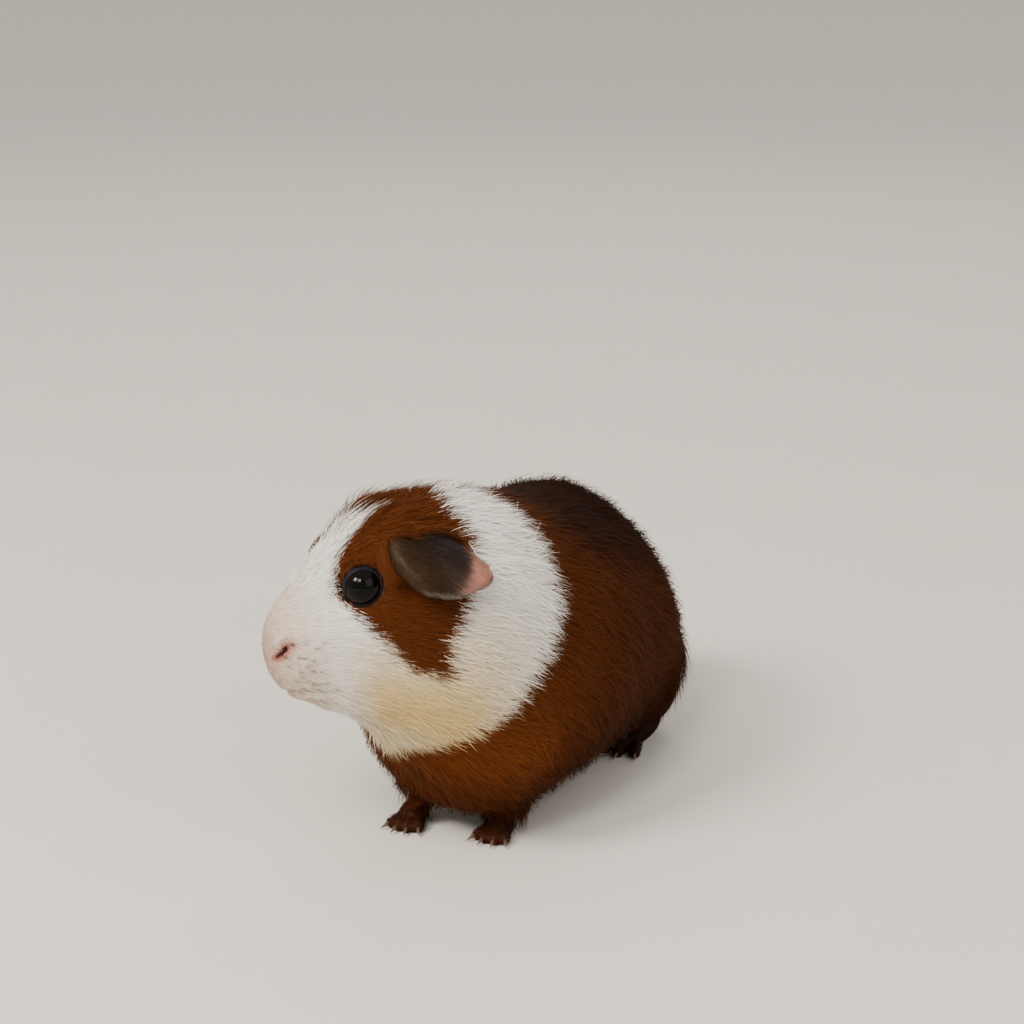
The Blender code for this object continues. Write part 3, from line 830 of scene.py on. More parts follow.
# thin ear skin: pigmented dark over most of it, flesh pink at the rear lobe, finely wrinkled, with
# painted shade in its hollow and under its curled rim
earLook = {
    "shader": {"IOR": 1.4, "Roughness": 0.55, "Specular IOR Level": 0.3},
    "carried": ("tone", "bare", "dark"),
    "patterns": {
        "vein": ("TexNoise", 3.5, {"Detail": 5.0, "Distortion": 1.2}, {}),
        "wrinkle": ("TexNoise", 0.5, {"Detail": 3.0}, {}),
    },
    "bumps": (("wrinkle", 0.15, 0.8),),
    # from the ear's front edge, 0, to its rear tip, 1; darkest over the hollow behind the front lobe,
    # partly the ear's dark skin and partly painted shade
    "tones": ((0.0, "#382c1b"), (0.32, "#382c1b"), (0.5, "#1f1a17"), (0.72, "#302f34")),
    "pink": ("#a06c59", "#74402f"),
    "strength": (1.0, 0.3),  # of its colour, in the open and in its painted shade
}


def earNodes(tree, value):
    tones = addNode(tree, "ValToRGB", {"Fac": value["tone"]}, stops=earLook["tones"])
    pink = {0: value["vein"], 6: earLook["pink"][0], 7: earLook["pink"][1]}
    pink = addNode(tree, "Mix", pink, 2, data_type="RGBA")
    colour = addNode(tree, "Mix", {0: value["bare"], 6: tones, 7: pink}, 2, data_type="RGBA")
    low, high = earLook["strength"]
    strength = addNode(tree, "MapRange", {"Value": value["dark"], "To Min": low, "To Max": high})
    return {"Base Color": addNode(tree, "VectorMath", {0: colour, "Scale": strength}, operation="SCALE")}


# wet lid skin: slate blue, smooth and shiny with tears; painted shade darkens the low of its wrinkles
lidLook = {
    "shader": {"IOR": 1.36, "Roughness": 0.42, "Specular IOR Level": 0.18},
    "patterns": {"wrinkle": ("TexNoise", 0.6, {"Detail": 3.0}, {})},
    # the wrinkles' low parts get the darker blue: painted shade
    "colours": ("wrinkle", "#08080b", "#17181f"),
    "bumps": (("wrinkle", 0.12, 0.7),),
}

skinMaterials = {
    "hide": newMaterial("thinHide", hideLook, hideNodes),
    "limb": newMaterial("footLeather", footLook),
    "ear": newMaterial("earLeather", earLook, earNodes),
    "lids": newMaterial("wetLid", lidLook),
}
skinObject = setKind(closedLoft("skin", skinGrid()), "hide")
others = [setKind(limb(kind, name), "limb") for kind in ("fore", "hind") for name in sides]
others += [setKind(earShape(name), "ear") for name in sides]
others += [setKind(lidShape(name), "lids") for name in sides]
joinInto(skinObject, others)
skinObject.data.shade_smooth()
print("skin:", len(skinObject.data.polygons), "faces with limbs, ears and lids")

# The markings, as places on the form.
markings = {
    # the brown round the eye, from below its front, back along the cheek and over the crown
    "patch": (
        (19.6, 47), (20.2, 36), (23, 21), (26.5, 6), (30.5, -6), (34.5, -8.5), (37.8, -8), (38.4, 2),
        (41, 11), (42.4, 22), (44, 36), (45.6, 48), (45.4, 62), (45.8, 73), (47, 82), (49.5, 90),
        (49.5, 98), (38.5, 98), (36, 92), (32.6, 87.5), (29.6, 82.5), (26.8, 78), (24.2, 73.5),
        (22.2, 67), (20.6, 57),
    ),
    # turn, distance at which the white collar ends and the brown body starts
    "collarEnd": {
        "left": (
            (-90, 34.5), (-75, 33), (-62, 33), (-46, 37.2), (-32, 43.2), (-22, 49), (-13, 54.5), (-4, 59),
            (8, 60.3), (31, 59.7), (46, 59.5), (62, 59), (73, 56.5), (90, 54),
        ),
        "right": (
            (-90, 34.5), (-75, 42), (-62, 48), (-46, 51.5), (-32, 53.5), (-22, 55.5), (-13, 57.5),
            (-4, 59.5), (8, 60.3), (31, 59.7), (46, 59.5), (62, 59), (73, 56.5), (90, 54),
        ),
    },
    "degreeLength": 0.45,  # mm round the form for each degree, where the patch lies
    # how much later the right patch starts over the eye, in mm, and where
    "later": (1.8, (("degrees", 106, 112), ("degrees", 132, 123), ("distance", 28, 24))),
}
# Areas of the coat: strength, and edges. An edge has its scale, where it starts and where it is whole.
# Heights over the floor are in metres.
shades = {
    # brown's depth of colour: 1 is the bright red-brown of the face and chest, 0 the dark back, partly
    # the coat's own darker brown and partly painted shade
    "face": 0.72,
    "others": (
        # darker along the trunk and on the rump: partly the coat's own darker brown, partly painted shade
        (-0.16, (("distance", 60, 105),)),
        (-0.16, (("distance", 120, 175),)),
        (0.28, (("turn", 0, -40), ("distance", 78, 60), ("height", 0.015, 0.03))),
        # darker on top of the back: partly the coat's own darker brown, partly painted shade
        (-0.42, (("up", 0.3, 0.95), ("distance", 56, 84))),
        # darker low down by the floor: painted shade
        (-0.18, (("height", 0.035, 0.012), ("distance", 60, 90))),
    ),
    # yellow of the throat and the lower cheek, weaker right below, and a little on the nose
    "throat": (("turn", 22, -24), ("distance", 14, 26), ("distance", 60, 38)),
    "below": (0.35, (("turn", -30, -60),)),
    "nose": (0.3, (("distance", 20, 6),)),
}
muzzle = {
    # mm from the nostril and from the mouth, and along the body
    "bare": (
        (1.0, (("nostril", 4.0, 1.0),)), (0.6, (("distance", 4.5, 2.0),)), (0.5, (("mouth", 2.0, 0.6),)),
    ),
    "red": ((1.0, (("nostril", 1.15, 0.5),)), (0.8, (("mouth", 0.7, 0.3), ("distance", 2.0, 4.0)))),
}


def folded(degrees):
    # both sides read as the left one, from -90 to 90
    return np.where(np.abs(degrees) > 90, np.sign(degrees) * 180 - degrees, degrees)


def area(scales, strength, edges):
    for scale, start, whole in edges:
        strength = strength * smooth(start, whole, scales[scale])
    return strength


def strongest(scales, areas):
    return np.max([area(scales, *item) for item in areas], axis=0)


def formScales(distance, degrees):
    up = np.sin(np.radians(degrees))
    return {"distance": distance, "degrees": degrees, "turn": folded(degrees), "up": up}


def insidePatch(distance, degrees):
    # mm inside the patch's outline, or minus the mm outside it
    outline = np.array(markings["patch"], dtype=float)
    keys = np.arange(len(outline) + 3, dtype=float)
    closed = np.concatenate((outline[-1:], outline, outline[:2]))
    outline = hermite(keys, closed, np.linspace(1, len(outline) + 1, 80))
    outline[:, 1] *= markings["degreeLength"]
    places = np.stack((distance, folded(degrees) * markings["degreeLength"]), axis=1)
    away = awayFromLine(places, outline) * mm
    inside = np.zeros(len(places), dtype=bool)
    for start, end in zip(outline, np.roll(outline, -1, axis=0)):
        way = end - start
        crosses = (start[1] > places[:, 1]) != (end[1] > places[:, 1])
        rise = way[1] if abs(way[1]) > 1e-9 else 1e-9
        inside ^= crosses & (places[:, 0] < start[0] + (places[:, 1] - start[1]) * way[0] / rise)
    return np.where(inside, away, -away)


def brownAt(distance, degrees):
    # mm inside the brown parts, negative in the white ones
    left, right = (tableAt(markings["collarEnd"][name], folded(degrees))[:, 0] for name in sides)
    bodyPart = distance - np.where(np.abs(degrees) > 90, right, left)
    late = area(formScales(distance, degrees), *markings["later"])
    return np.maximum(bodyPart, insidePatch(distance - late, degrees))


# brown's depth at each place, with its painted shade on the back, the trunk and low by the floor
def shadeAt(distance, degrees, points):
    scales = {**formScales(distance, degrees), "height": points[:, 2]}
    shade = shades["face"]
    for item in shades["others"]:
        shade = shade + area(scales, *item)
    return np.clip(shade, 0, 1)


def creamAt(distance, degrees):
    scales = formScales(distance, degrees)
    throat = area(scales, 1.0, shades["throat"]) * (1 - area(scales, *shades["below"]))
    return np.maximum(throat, area(scales, *shades["nose"]))


# the whiskers' places, in rows on both sides of the muzzle
whiskers = {
    "rows": ((-26, 6.4), (-13, 5.4), (0, 5.0), (11, 5.6), (21, 6.6)),  # turn, distance of the first
    "inRow": 5,
    "apart": 1.75,
    "turnBack": -1.2,  # each next one sits lower, in degrees
    "uneven": (0.45, 3.0),  # how far they stray from their rows, in mm and degrees
    "shadeSpeck": (0.528, 0.264),  # mm from a whisker's root, where its speck of painted shade starts and is whole
    "degreeLength": 0.24,  # mm round the muzzle for each degree
    "length": (8.0, 19.0),  # front and rear
    "unevenLength": (0.8, 1.1),
    "longest": (5, 9),  # how far back the length starts to grow, and over how many mm
    "out": 0.85,
    "back": (0.35, 0.5),  # of the first, and more of the last
    "up": (0.5, -0.1),  # as its root lies, and at mid height
    "unevenWay": 0.06,
    "sunk": 0.5,
    "radius": 0.07,
    "taper": 0.85,
    "rings": 9,
    "around": 5,
    "sag": 0.16,
    "sagWay": (0.7, 0.5),  # back and down
}


def whiskerRoots():
    rng = np.random.default_rng(5)
    places = []
    for degrees, distance in whiskers["rows"]:
        for number in range(whiskers["inRow"]):
            strayed = rng.normal(0, whiskers["uneven"])
            place = distance + whiskers["apart"] * number + strayed[0]
            turn = degrees + whiskers["turnBack"] * number + strayed[1]
            places += [(place, turn), (place, 180 - turn)]
    return places


whiskerPlaces = np.array(whiskerRoots())
whiskerPoints = onForm(whiskerPlaces[:, 0], whiskerPlaces[:, 1])


def muzzleValues(distance, degrees):
    # bare round the nostrils, red in them and in the mouth, deepened with painted shade, and dark specks
    # of painted shade where whiskers grow
    turnLength = whiskers["degreeLength"]
    places = np.stack((distance, folded(degrees) * turnLength), axis=1) * mm
    away = []
    for number in (0, 3):
        route = curvePoints(skin["relief"][number][0], 12) * np.array((1, turnLength)) * mm
        away.append(awayFromLine(places, route))
    scales = {"nostril": away[0], "mouth": away[1], "distance": distance}
    gaps = np.full(len(distance), np.inf)
    for place, turn in whiskerPlaces:
        turns = (degrees - turn + 180) % 360 - 180
        gaps = np.minimum(gaps, np.hypot(distance - place, turns * turnLength))
    bare, red = (strongest(scales, muzzle[key]) for key in ("bare", "red"))
    return bare, red, smooth(*whiskers["shadeSpeck"], gaps)


# the ears' own scales: u runs from 0 to 1 from front to rear, v from root to rim
earAreas = {
    # the pink rear lobe: where it starts and is whole, its place, and how its edge slants and waves
    "bare": (-0.05, 0.06, -0.97, 0.4, 0.03, 9),
    # the head's brown hair, which runs on over the ear's root
    "root": (1.0, (("v", 0.16, 0.07), ("u", 0.1, 0.24))),
    # painted shade in the way in, under the overhanging hair: place and reach along u, start and whole
    # along v
    "hollow": (0.62, 0.27, 0.85, 0.2),
    "curl": (0.7, 0.8, 0.1, 0.88, 0.98),  # painted shade the same way under the curled rim, with its strength first
    "rim": (1.0, (("v", 0.9, 0.97), ("u", 0.3, 0.5))),  # the fringe of pale hairs
    "slate": (0.22, (("u", 0.45, 0.7), ("v", 0.45, 0.8))),
    "darkHair": (0.45, (("u", 0.3, 0.5),)),
}


def earScales(points):
    tree = KDTree(2 * ear["across"] * ear["along"])
    grids = np.concatenate([earSheet(side).reshape(-1, 3) for side in sides.values()])
    for index, point in enumerate(grids):
        tree.insert(point, index)
    tree.balance()
    found = np.array([tree.find(point)[1] for point in points.tolist()])
    number = found % (ear["across"] * ear["along"])
    left = found < ear["across"] * ear["along"]
    return number % ear["across"] / (ear["across"] - 1), number // ear["across"] / (ear["along"] - 1), left


def earBare(u, v):
    low, high, edge, slant, wave, close = earAreas["bare"]
    return smooth(low, high, u + edge + slant * v + wave * np.sin(v * close))


def earRoot(u, v):
    return area({"u": u, "v": v}, *earAreas["root"])


def earHollow(u, v):
    place, reach, start, whole = earAreas["hollow"]
    return bell(u, place, reach) * smooth(start, whole, v)


def readValues(items, name, width, kind=float):
    values = np.empty(len(items) * width, dtype=kind)
    items.foreach_get(name, values)
    return values.reshape(-1, width)


# the skin's faces, and what is known at each: kind, place, lie of the coat
mesh = skinObject.data
mesh.calc_loop_triangles()
skinPoints = readValues(mesh.vertices, "co", 3)
pointNormals = readValues(mesh.vertex_normals, "vector", 3)
corners = readValues(mesh.loop_triangles, "vertices", 3, int)
kinds = readValues(mesh.loop_triangles, "material_index", 1, int)[:, 0]
triMiddles = skinPoints[corners].mean(axis=1)
triNormals = unit(pointNormals[corners].mean(axis=1))
edgeA, edgeB = (skinPoints[corners[:, i]] - skinPoints[corners[:, 0]] for i in (1, 2))
triAreas = np.linalg.norm(np.cross(edgeA, edgeB), axis=1) / 2 / mm**2
skinTree = BVHTree.FromPolygons(skinPoints.tolist(), corners.tolist())
triDistance, triDegrees, _ = bodyPlace(triMiddles)
hide, limbKind, earKind, lidKind = (kinds == skinKinds.index(name) for name in skinKinds)
triEarU, triEarV = np.zeros(len(kinds)), np.zeros(len(kinds))
triEarU[earKind], triEarV[earKind], _ = earScales(triMiddles[earKind])

# how much the coat hangs down as it runs back: distance from the nose, share
droop = (
    (0, 0.02), (8, 0.08), (20, 0.2), (40, 0.38), (60, 0.5), (90, 0.45), (130, 0.4), (160, 0.55), (181, 0.9),
)
down = np.array((0.0, 0.0, -1.0))
lie = {
    # round the eyes the coat parts: share of its inward way that it loses, more outward behind, and where
    "inward": 0.6,
    "outward": 0.45,
    "behind": (-0.2, 0.5),
    "reach": (13, 7.5),
    "leg": (0.0, 0.12, -1.0),
    "foot": (0.0, -1.0, -0.15),
    "ankle": (0.006, 0.012),  # heights between which the foot's lie turns into the leg's, in metres
    "ear": (0.45, -0.85),  # back and up
    # depth of the coat on the limbs in mm: least, more of it higher up, between these heights in metres
    "limbDepth": (0.7, 2.2, 0.01, 0.035),
    "earDepth": 0.55,
}
# how thickly hair grows: thin on the nose and the ears' rear lobe, thick along the ears' rim and root
density = {"bare": 0.85, "lobe": 0.9, "hollow": 0.6, "rim": (2.0, (("v", 0.9, 0.97),)), "root": 4.0}


def coatLie():
    way = axesAt(triDistance)[1] + tableAt(droop, triDistance) * down
    for middle in eyePlaces.values():
        away = triMiddles - middle
        far = np.linalg.norm(away, axis=1) / mm
        away = unit(away)
        outward = lie["outward"] * smooth(*lie["behind"], dot(way, away))
        turned = lie["inward"] * np.minimum(dot(way, away), 0) - outward
        way = way - away * (turned * smooth(*lie["reach"], far))[:, None]
    height = smooth(*lie["ankle"], triMiddles[:, 2])[:, None]
    legWay = np.array(lie["foot"]) * (1 - height) + np.array(lie["leg"]) * height
    way = np.where(limbKind[:, None], legWay, way)
    way = np.where(earKind[:, None], skullBack * lie["ear"][0] + skullUp * lie["ear"][1], way)
    return unit(way - triNormals * dot(way, triNormals)[:, None])


triWays = coatLie()
triDepth = depthAt(triDistance, triMiddles)
least, more, low, high = lie["limbDepth"]
triDepth = np.where(limbKind, least + more * smooth(low, high, triMiddles[:, 2]), triDepth)
triDepth = np.where(earKind, lie["earDepth"], triDepth)
triBare, triRed, _ = muzzleValues(triDistance, triDegrees)
triDensity = np.where(hide, (1 - density["bare"] * triBare) * (1 - triRed), 1.0)
earDensity = 1 - density["lobe"] * earBare(triEarU, triEarV)
earDensity *= 1 - density["hollow"] * earHollow(triEarU, triEarV)
earDensity *= 1 + area({"v": triEarV}, *density["rim"])
earDensity *= 1 + density["root"] * earRoot(triEarU, triEarV)
triDensity = np.where(earKind, earDensity, triDensity)
print("skin: markings and lie of the coat")

# The coat's pieces. Lengths and widths in mm.
coat = {
    # name, kind of skin, distances from and to, hairs
    "pieces": (
        ("coat_muzzle", "hide", 0, 15, 52000),
        ("coat_face", "hide", 15, 32, 62000),
        ("coat_cheeks", "hide", 32, 48, 60000),
        ("coat_collar", "hide", 48, 66, 60000),
        ("coat_shoulders", "hide", 66, 88, 52000),
        ("coat_ribs", "hide", 88, 113, 48000),
        ("coat_loins", "hide", 113, 139, 46000),
        ("coat_rump", "hide", 139, 182, 50000),
        ("coat_limbs", "limb", 0, 182, 34000),
        ("coat_ears", "ear", 0, 182, 20000),
    ),
    "parts": 2,
    # distance from the nose, hair length, hair width
    "hairs": (
        (0, 1.3, 0.08), (5, 2.2, 0.09), (10, 3.6, 0.10), (16, 5.0, 0.12), (24, 6.6, 0.14), (35, 9.2, 0.17),
        (50, 13.5, 0.20), (65, 17, 0.22), (85, 18.5, 0.24), (130, 18.5, 0.24), (181, 16, 0.23),
    ),
    "limbLength": (2.4, 9.0),  # on the foot, at the top of the leg
    "limbWidth": (0.12, 0.2),
    "earLength": 2.8,
    "earWidth": 0.075,
    "turn": math.radians(9),  # how far hairs stray sideways
    "twist": math.radians(25),
    "limbHeights": (0.006, 0.035),  # between which it grows from one to the other, in metres
    "rise": (0.0, 0.72, 1.0),  # height over the skin at the root, the middle and the tip
    "uneven": {"length": (0.75, 1.15), "width": (0.75, 1.2), "height": (0.55, 1.0), "draw": (0.4, 1.3)},
    "muzzle": (0.75, 0.55),  # how much shorter where it is bare, and on the whiskers' specks of painted shade
    "muzzleEnd": 15,
    # raised hair: on the crown and over the right eye, with how much longer and higher it is
    "crown": (1.0, (("turn", 45, 75), ("distance", 18, 26), ("distance", 54, 44))),
    "brow": (
        1.0, (("degrees", 92, 100), ("degrees", 135, 118), ("distance", 20.5, 24), ("distance", 36, 27)),
    ),
    "crownMore": (0.25, 0.4),
    "browMore": 1.3,
    "earRootMore": (0.8, 1.5),
    "lock": 0.26,  # how far hairs draw together toward their lock's tip
    "hairsInLock": 12,
    "stray": 0.07,  # share of hairs that stand off, and three times that on the ears
    "strayMore": (2.2, 1.6),  # how much further they turn and rise
    "shown": 0.74,  # how far along a hair its marking is read, as its tip lies on top
    "ragged": 0.85,  # how far the markings' borders run into each other, in mm
    "soft": 0.6,  # share of the skin's own shape in each hair's shading
    "border": 0.2,  # half the width over which brown turns white, in mm
    "fromEye": 70.0,  # degrees from the eye's axis at which the coat starts, on its mound
    "offEye": 5.95,  # mm from the eye's middle at which it starts beside it
    "besideEye": 0.42,  # share of its length right beside the eye
    "lowest": 0.25,  # no hair comes nearer the floor, in mm
    "patch": 0.003,  # size of a hair's patch on the unwrap
    "breadth": (0.9, 0.85, 0.0),  # along the hair
    "fuzz": (0.9, 0.55),  # how dark the left and the right ear's hair is
    "palest": (0.8, 0.6),  # on the ears' rim, and on their rear lobe
    "pink": (0.8, 0.3),  # round the nostrils, and on the whole muzzle
}
# long hair above each ear's root, which hangs over the ear
tufts = {
    "count": 12000,
    "parts": 3,
    "length": 8.0,
    "unevenLength": (0.7, 1.15),
    "width": 0.15,
    "above": (-1.5, 5.5),
    "near": 4.6,
    "fall": 0.8,
    "way": (0.35, 1.0, 0.1),  # back, out, up
    "unevenWay": 0.1,
}


def hairSizes(kind, distance, heights):
    if kind == "limb":
        high = smooth(*coat["limbHeights"], heights)
        (short, long), (thin, wide) = coat["limbLength"], coat["limbWidth"]
        return short + (long - short) * high, thin + (wide - thin) * high
    if kind == "ear":
        return np.full(len(distance), coat["earLength"]), np.full(len(distance), coat["earWidth"])
    return tableAt(coat["hairs"], distance).T


def spreadRoots(pick, count, rng):
    # even random places over the picked faces
    chosen = np.flatnonzero(pick)
    reach = np.cumsum((triAreas * triDensity)[chosen])
    at = (np.arange(count) + rng.random(count)) / count * reach[-1]
    face = chosen[np.minimum(np.searchsorted(reach, at), len(chosen) - 1)]
    u, v = rng.random((2, count))
    fold = u + v > 1
    u, v = np.where(fold, 1 - u, u), np.where(fold, 1 - v, v)
    a, b, c = (skinPoints[corners[face, i]] for i in range(3))
    return a + (b - a) * u[:, None] + (c - a) * v[:, None], face


def growHairs(roots, face, lengths, parts, sideways):
    # walk each hair over the skin along the lie of the coat
    count = len(roots)
    paths = np.empty((count, parts + 1, 3))
    normals = np.empty((count, parts + 1, 3))
    paths[:, 0] = roots
    normals[:, 0] = triNormals[face]
    at = face
    for step in range(1, parts + 1):
        way = triWays[at]
        side = np.cross(way, triNormals[at])
        way = way * np.cos(sideways)[:, None] + side * np.sin(sideways)[:, None]
        ahead = paths[:, step - 1] + way * (lengths / parts * mm)[:, None]
        found = [skinTree.find_nearest(place) for place in ahead.tolist()]
        paths[:, step] = [place[0][:] for place in found]
        at = np.array([place[2] for place in found])
        normals[:, step] = triNormals[at]
    return paths, normals


def bladeMesh(name, paths, normals, widths, twist):
    # each hair is a thin blade that lies nearly flat, and narrows to its tip
    count, rows = len(paths), paths.shape[1]
    parts = rows - 1
    ways = unit(np.gradient(paths, axis=1))
    across = unit(np.cross(normals, ways))
    across = across * np.cos(twist) + np.cross(ways, across) * np.sin(twist)
    breadth = np.interp(np.linspace(0, 1, rows), (0, 0.5, 1), coat["breadth"])
    offset = across * (widths[:, None] * breadth / 2)[:, :, None] * mm
    each = 2 * parts + 1
    points = np.empty((count, each, 3))
    points[:, 0:2 * parts:2] = (paths + offset)[:, :parts]
    points[:, 1:2 * parts:2] = (paths - offset)[:, :parts]
    points[:, -1] = paths[:, -1]
    points[:, :, 2] = np.maximum(points[:, :, 2], coat["lowest"] * mm)
    first = np.arange(count)[:, None] * each
    order = [corner for i in range(parts - 1) for corner in (2 * i, 2 * i + 1, 2 * i + 3, 2 * i + 2)]
    loops = (first + np.array(order + [each - 3, each - 2, each - 1])).ravel()
    sizes = np.tile([4] * (parts - 1) + [3], count)
    mesh = bpy.data.meshes.new(name)
    mesh.vertices.add(count * each)
    mesh.vertices.foreach_set("co", points.ravel())
    mesh.loops.add(len(loops))
    mesh.loops.foreach_set("vertex_index", loops)
    mesh.polygons.add(len(sizes))
    mesh.polygons.foreach_set("loop_start", np.concatenate(([0], np.cumsum(sizes)[:-1])))
    mesh.update(calc_edges=True)
    mesh.shade_smooth()
    # the coat is shaded mostly as the form under it, which is what makes it look soft
    blade = unit(np.cross(ways, across))
    soft = unit(normals * coat["soft"] + blade * (1 - coat["soft"]))
    picked = np.repeat(np.arange(parts), 2).tolist() + [parts]
    mesh.normals_split_custom_set_from_vertices(soft[:, picked].reshape(-1, 3).tolist())
    return mesh, loops


def unwrapPlaces(kind, roots, distance, degrees):
    # the skin laid flat: the body by turn and distance, each limb and ear in a strip of its own
    if kind == "hide":
        u = (degrees + 180) / 360
        v = (distance - distance.min()) / np.ptp(distance)
    elif kind == "limb":
        middles = [feet[part][name] for part in ("fore", "hind") for name in sides]
        middles = np.array(middles) * mm + frameShift[:2]
        gaps = np.linalg.norm(roots[:, None, :2] - middles, axis=2)
        strip = gaps.argmin(axis=1)
        away = roots[:, :2] - middles[strip]
        u = (strip + np.arctan2(away[:, 1], away[:, 0]) / (2 * math.pi) + 0.5) / 4
        v = roots[:, 2] / roots[:, 2].max()
    else:
        scaleU, v, left = earScales(roots)
        u = (scaleU + left) / 2
    low, span = 0.004, 0.988
    return low + span * np.stack((u, v), axis=1)


def carry(mesh, values, rows):
    for name, value in values.items():
        mesh.attributes.new(name, "FLOAT", "POINT").data.foreach_set("value", np.repeat(value, rows))


def offTheEyes(points):
    # where the coat keeps off the eyeballs and their lids
    off = np.ones(len(points), dtype=bool)
    for name in sides:
        away, far, polar = fromEye(points, name)
        _, fore, across = eyeAxes(sides[name])
        turn = np.arctan2(away @ across, away @ fore)
        polar -= lids["corner"] * np.clip(np.cos(turn), 0, 1) ** 6
        off &= (far > coat["offEye"]) | (polar > coat["fromEye"])
    return off


def makeCoat(name, kind, start, end, count, rng):
    pick = kinds == skinKinds.index(kind)
    onHide, onEar = float(kind == "hide"), float(kind == "ear")
    if onHide:
        pick = (hide | lidKind) & offTheEyes(triMiddles)
    pick &= (triDistance >= start) & (triDistance < end)
    roots, face = spreadRoots(pick, count, rng)
    distance, degrees, _ = bodyPlace(roots)
    scales = formScales(distance, degrees)
    lengths, widths = hairSizes(kind, distance, roots[:, 2])
    lengths = lengths * rng.uniform(*coat["uneven"]["length"], count)
    widths = widths * rng.uniform(*coat["uneven"]["width"], count)
    for middle in eyePlaces.values():
        # short round the eyes, and none long enough to run over them
        far = np.linalg.norm(roots - middle, axis=1) / mm
        toward = np.maximum(-dot(triWays[face], unit(roots - middle)), 0.1)
        room = np.maximum((far - coat["offEye"]) / toward, 0.5)
        lengths *= coat["besideEye"] + (1 - coat["besideEye"]) * smooth(*eye["thin"], far)
        lengths = np.where(far < eye["thin"][1], np.minimum(lengths, room), lengths)
    if onHide and start < coat["muzzleEnd"]:
        bare, _, shadeSpeck = muzzleValues(distance, degrees)
        lengths *= (1 - coat["muzzle"][0] * bare) * (1 - coat["muzzle"][1] * shadeSpeck)
    crown = onHide * area(scales, *coat["crown"])
    brow = onHide * area(scales, *coat["brow"])
    overEar = onEar * earRoot(triEarU[face], triEarV[face])
    lengths *= 1 + coat["crownMore"][0] * crown
    lengths *= 1 + coat["earRootMore"][0] * overEar
    sideways = rng.normal(0, coat["turn"], count)
    stray = rng.random(count) < coat["stray"] * (1 + 2 * onEar)
    sideways = np.where(stray, sideways * coat["strayMore"][0], sideways)
    paths, normals = growHairs(roots, face, lengths, coat["parts"], sideways)

    along = np.linspace(0, 1, coat["parts"] + 1)
    height = triDepth[face] * rng.uniform(*coat["uneven"]["height"], count) ** 0.8
    height = np.where(stray, height * coat["strayMore"][1], height)
    height *= 1 + coat["crownMore"][1] * crown + coat["browMore"] * brow + coat["earRootMore"][1] * overEar
    paths += normals * (height[:, None] * np.interp(along, (0, 0.5, 1), coat["rise"]))[:, :, None] * mm

    # locks: hairs draw toward the line of one among them
    locks = rng.choice(count, count // coat["hairsInLock"], replace=False)
    tree = KDTree(len(locks))
    for index, lock in enumerate(locks):
        tree.insert(roots[lock], index)
    tree.balance()
    nearest = locks[[tree.find(root)[1] for root in roots.tolist()]]
    draw = (coat["lock"] * rng.uniform(*coat["uneven"]["draw"], count))[:, None] * along**1.5
    paths += (paths[nearest] - paths) * draw[:, :, None]
    finishCoat(name, kind, paths, normals, widths, rng, roots, face, distance, degrees, nearest)


def finishCoat(name, kind, paths, normals, widths, rng, roots, face, distance, degrees, nearest):
    count, steps = len(paths), np.linspace(0, 1, paths.shape[1])
    twist = rng.normal(0, coat["twist"], count)[:, None, None]
    mesh, loops = bladeMesh(name, paths, normals, widths, twist)
    shown = paths[:, -1] * coat["shown"] + paths[:, 0] * (1 - coat["shown"])
    shownDistance, shownDegrees, _ = bodyPlace(shown)
    inside = brownAt(shownDistance, shownDegrees)
    most = 1.7 * coat["ragged"]
    inside += np.clip(rng.normal(0, coat["ragged"], count), -most, most)
    if kind != "hide":
        inside = np.ones(count)
    u, v = triEarU[face], triEarV[face]
    scales, onEar, overRoot = {"u": u, "v": v}, float(kind == "ear"), earRoot(u, v)
    fuzz = onEar * np.where(np.abs(degrees) < 90, *coat["fuzz"]) * rng.uniform(0.7, 1.0, count)
    fuzz *= 1 - overRoot
    rim = area(scales, *earAreas["rim"]) * rng.uniform(0, 1, count)
    slate = area(scales, *earAreas["slate"]) * rng.uniform(0, 1, count)
    onRim, onLobe = coat["palest"]
    pale = onEar * np.max((onRim * rim, slate, onLobe * earBare(u, v)), axis=0)
    pink, dark = np.zeros((2, count))
    if kind == "hide":
        # dark: painted shade on the whisker specks
        bare, _, dark = muzzleValues(distance, degrees)
        pink = np.maximum(coat["pink"][0] * bare, coat["pink"][1] * smooth(coat["muzzleEnd"], 5, distance))
    if kind == "ear":
        # the ears' hair: painted shade in the hollow, and darker over the middle and rear
        dark = np.maximum(earHollow(u, v), area(scales, *earAreas["darkHair"]))
        dark *= (1 - pale) * (1 - overRoot)
    carry(mesh, {
        "brown": smooth(-coat["border"], coat["border"], inside),
        "shade": shadeAt(shownDistance, shownDegrees, shown),
        "cream": creamAt(shownDistance, shownDegrees),
        "tone": 0.5 * rng.random(count) + 0.5 * rng.random(count)[nearest],
        "fuzz": fuzz,
        "pale": pale,
        "red": pink,
        "dark": dark,
    }, 2 * len(steps) - 1)
    tipward = np.repeat(steps[:-1], 2).tolist() + [1.0]
    carry(mesh, {"along": np.tile(tipward, count)}, 1)
    place = unwrapPlaces(kind, roots, distance, degrees)
    shift = np.array([(side, step) for step in steps[:-1] for side in (0.0, 1.0)] + [(0.5, 1.0)])
    uv = place[:, None] + (shift - 0.5)[None] * coat["patch"]
    mesh.uv_layers.new(name="OFBake").data.foreach_set("uv", uv.reshape(-1, 2)[loops].ravel())
    mesh.materials.append(guardHair)
    thing = placed(name, mesh)
    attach(thing, "root")
    print("coat:", name, len(mesh.polygons), "faces")


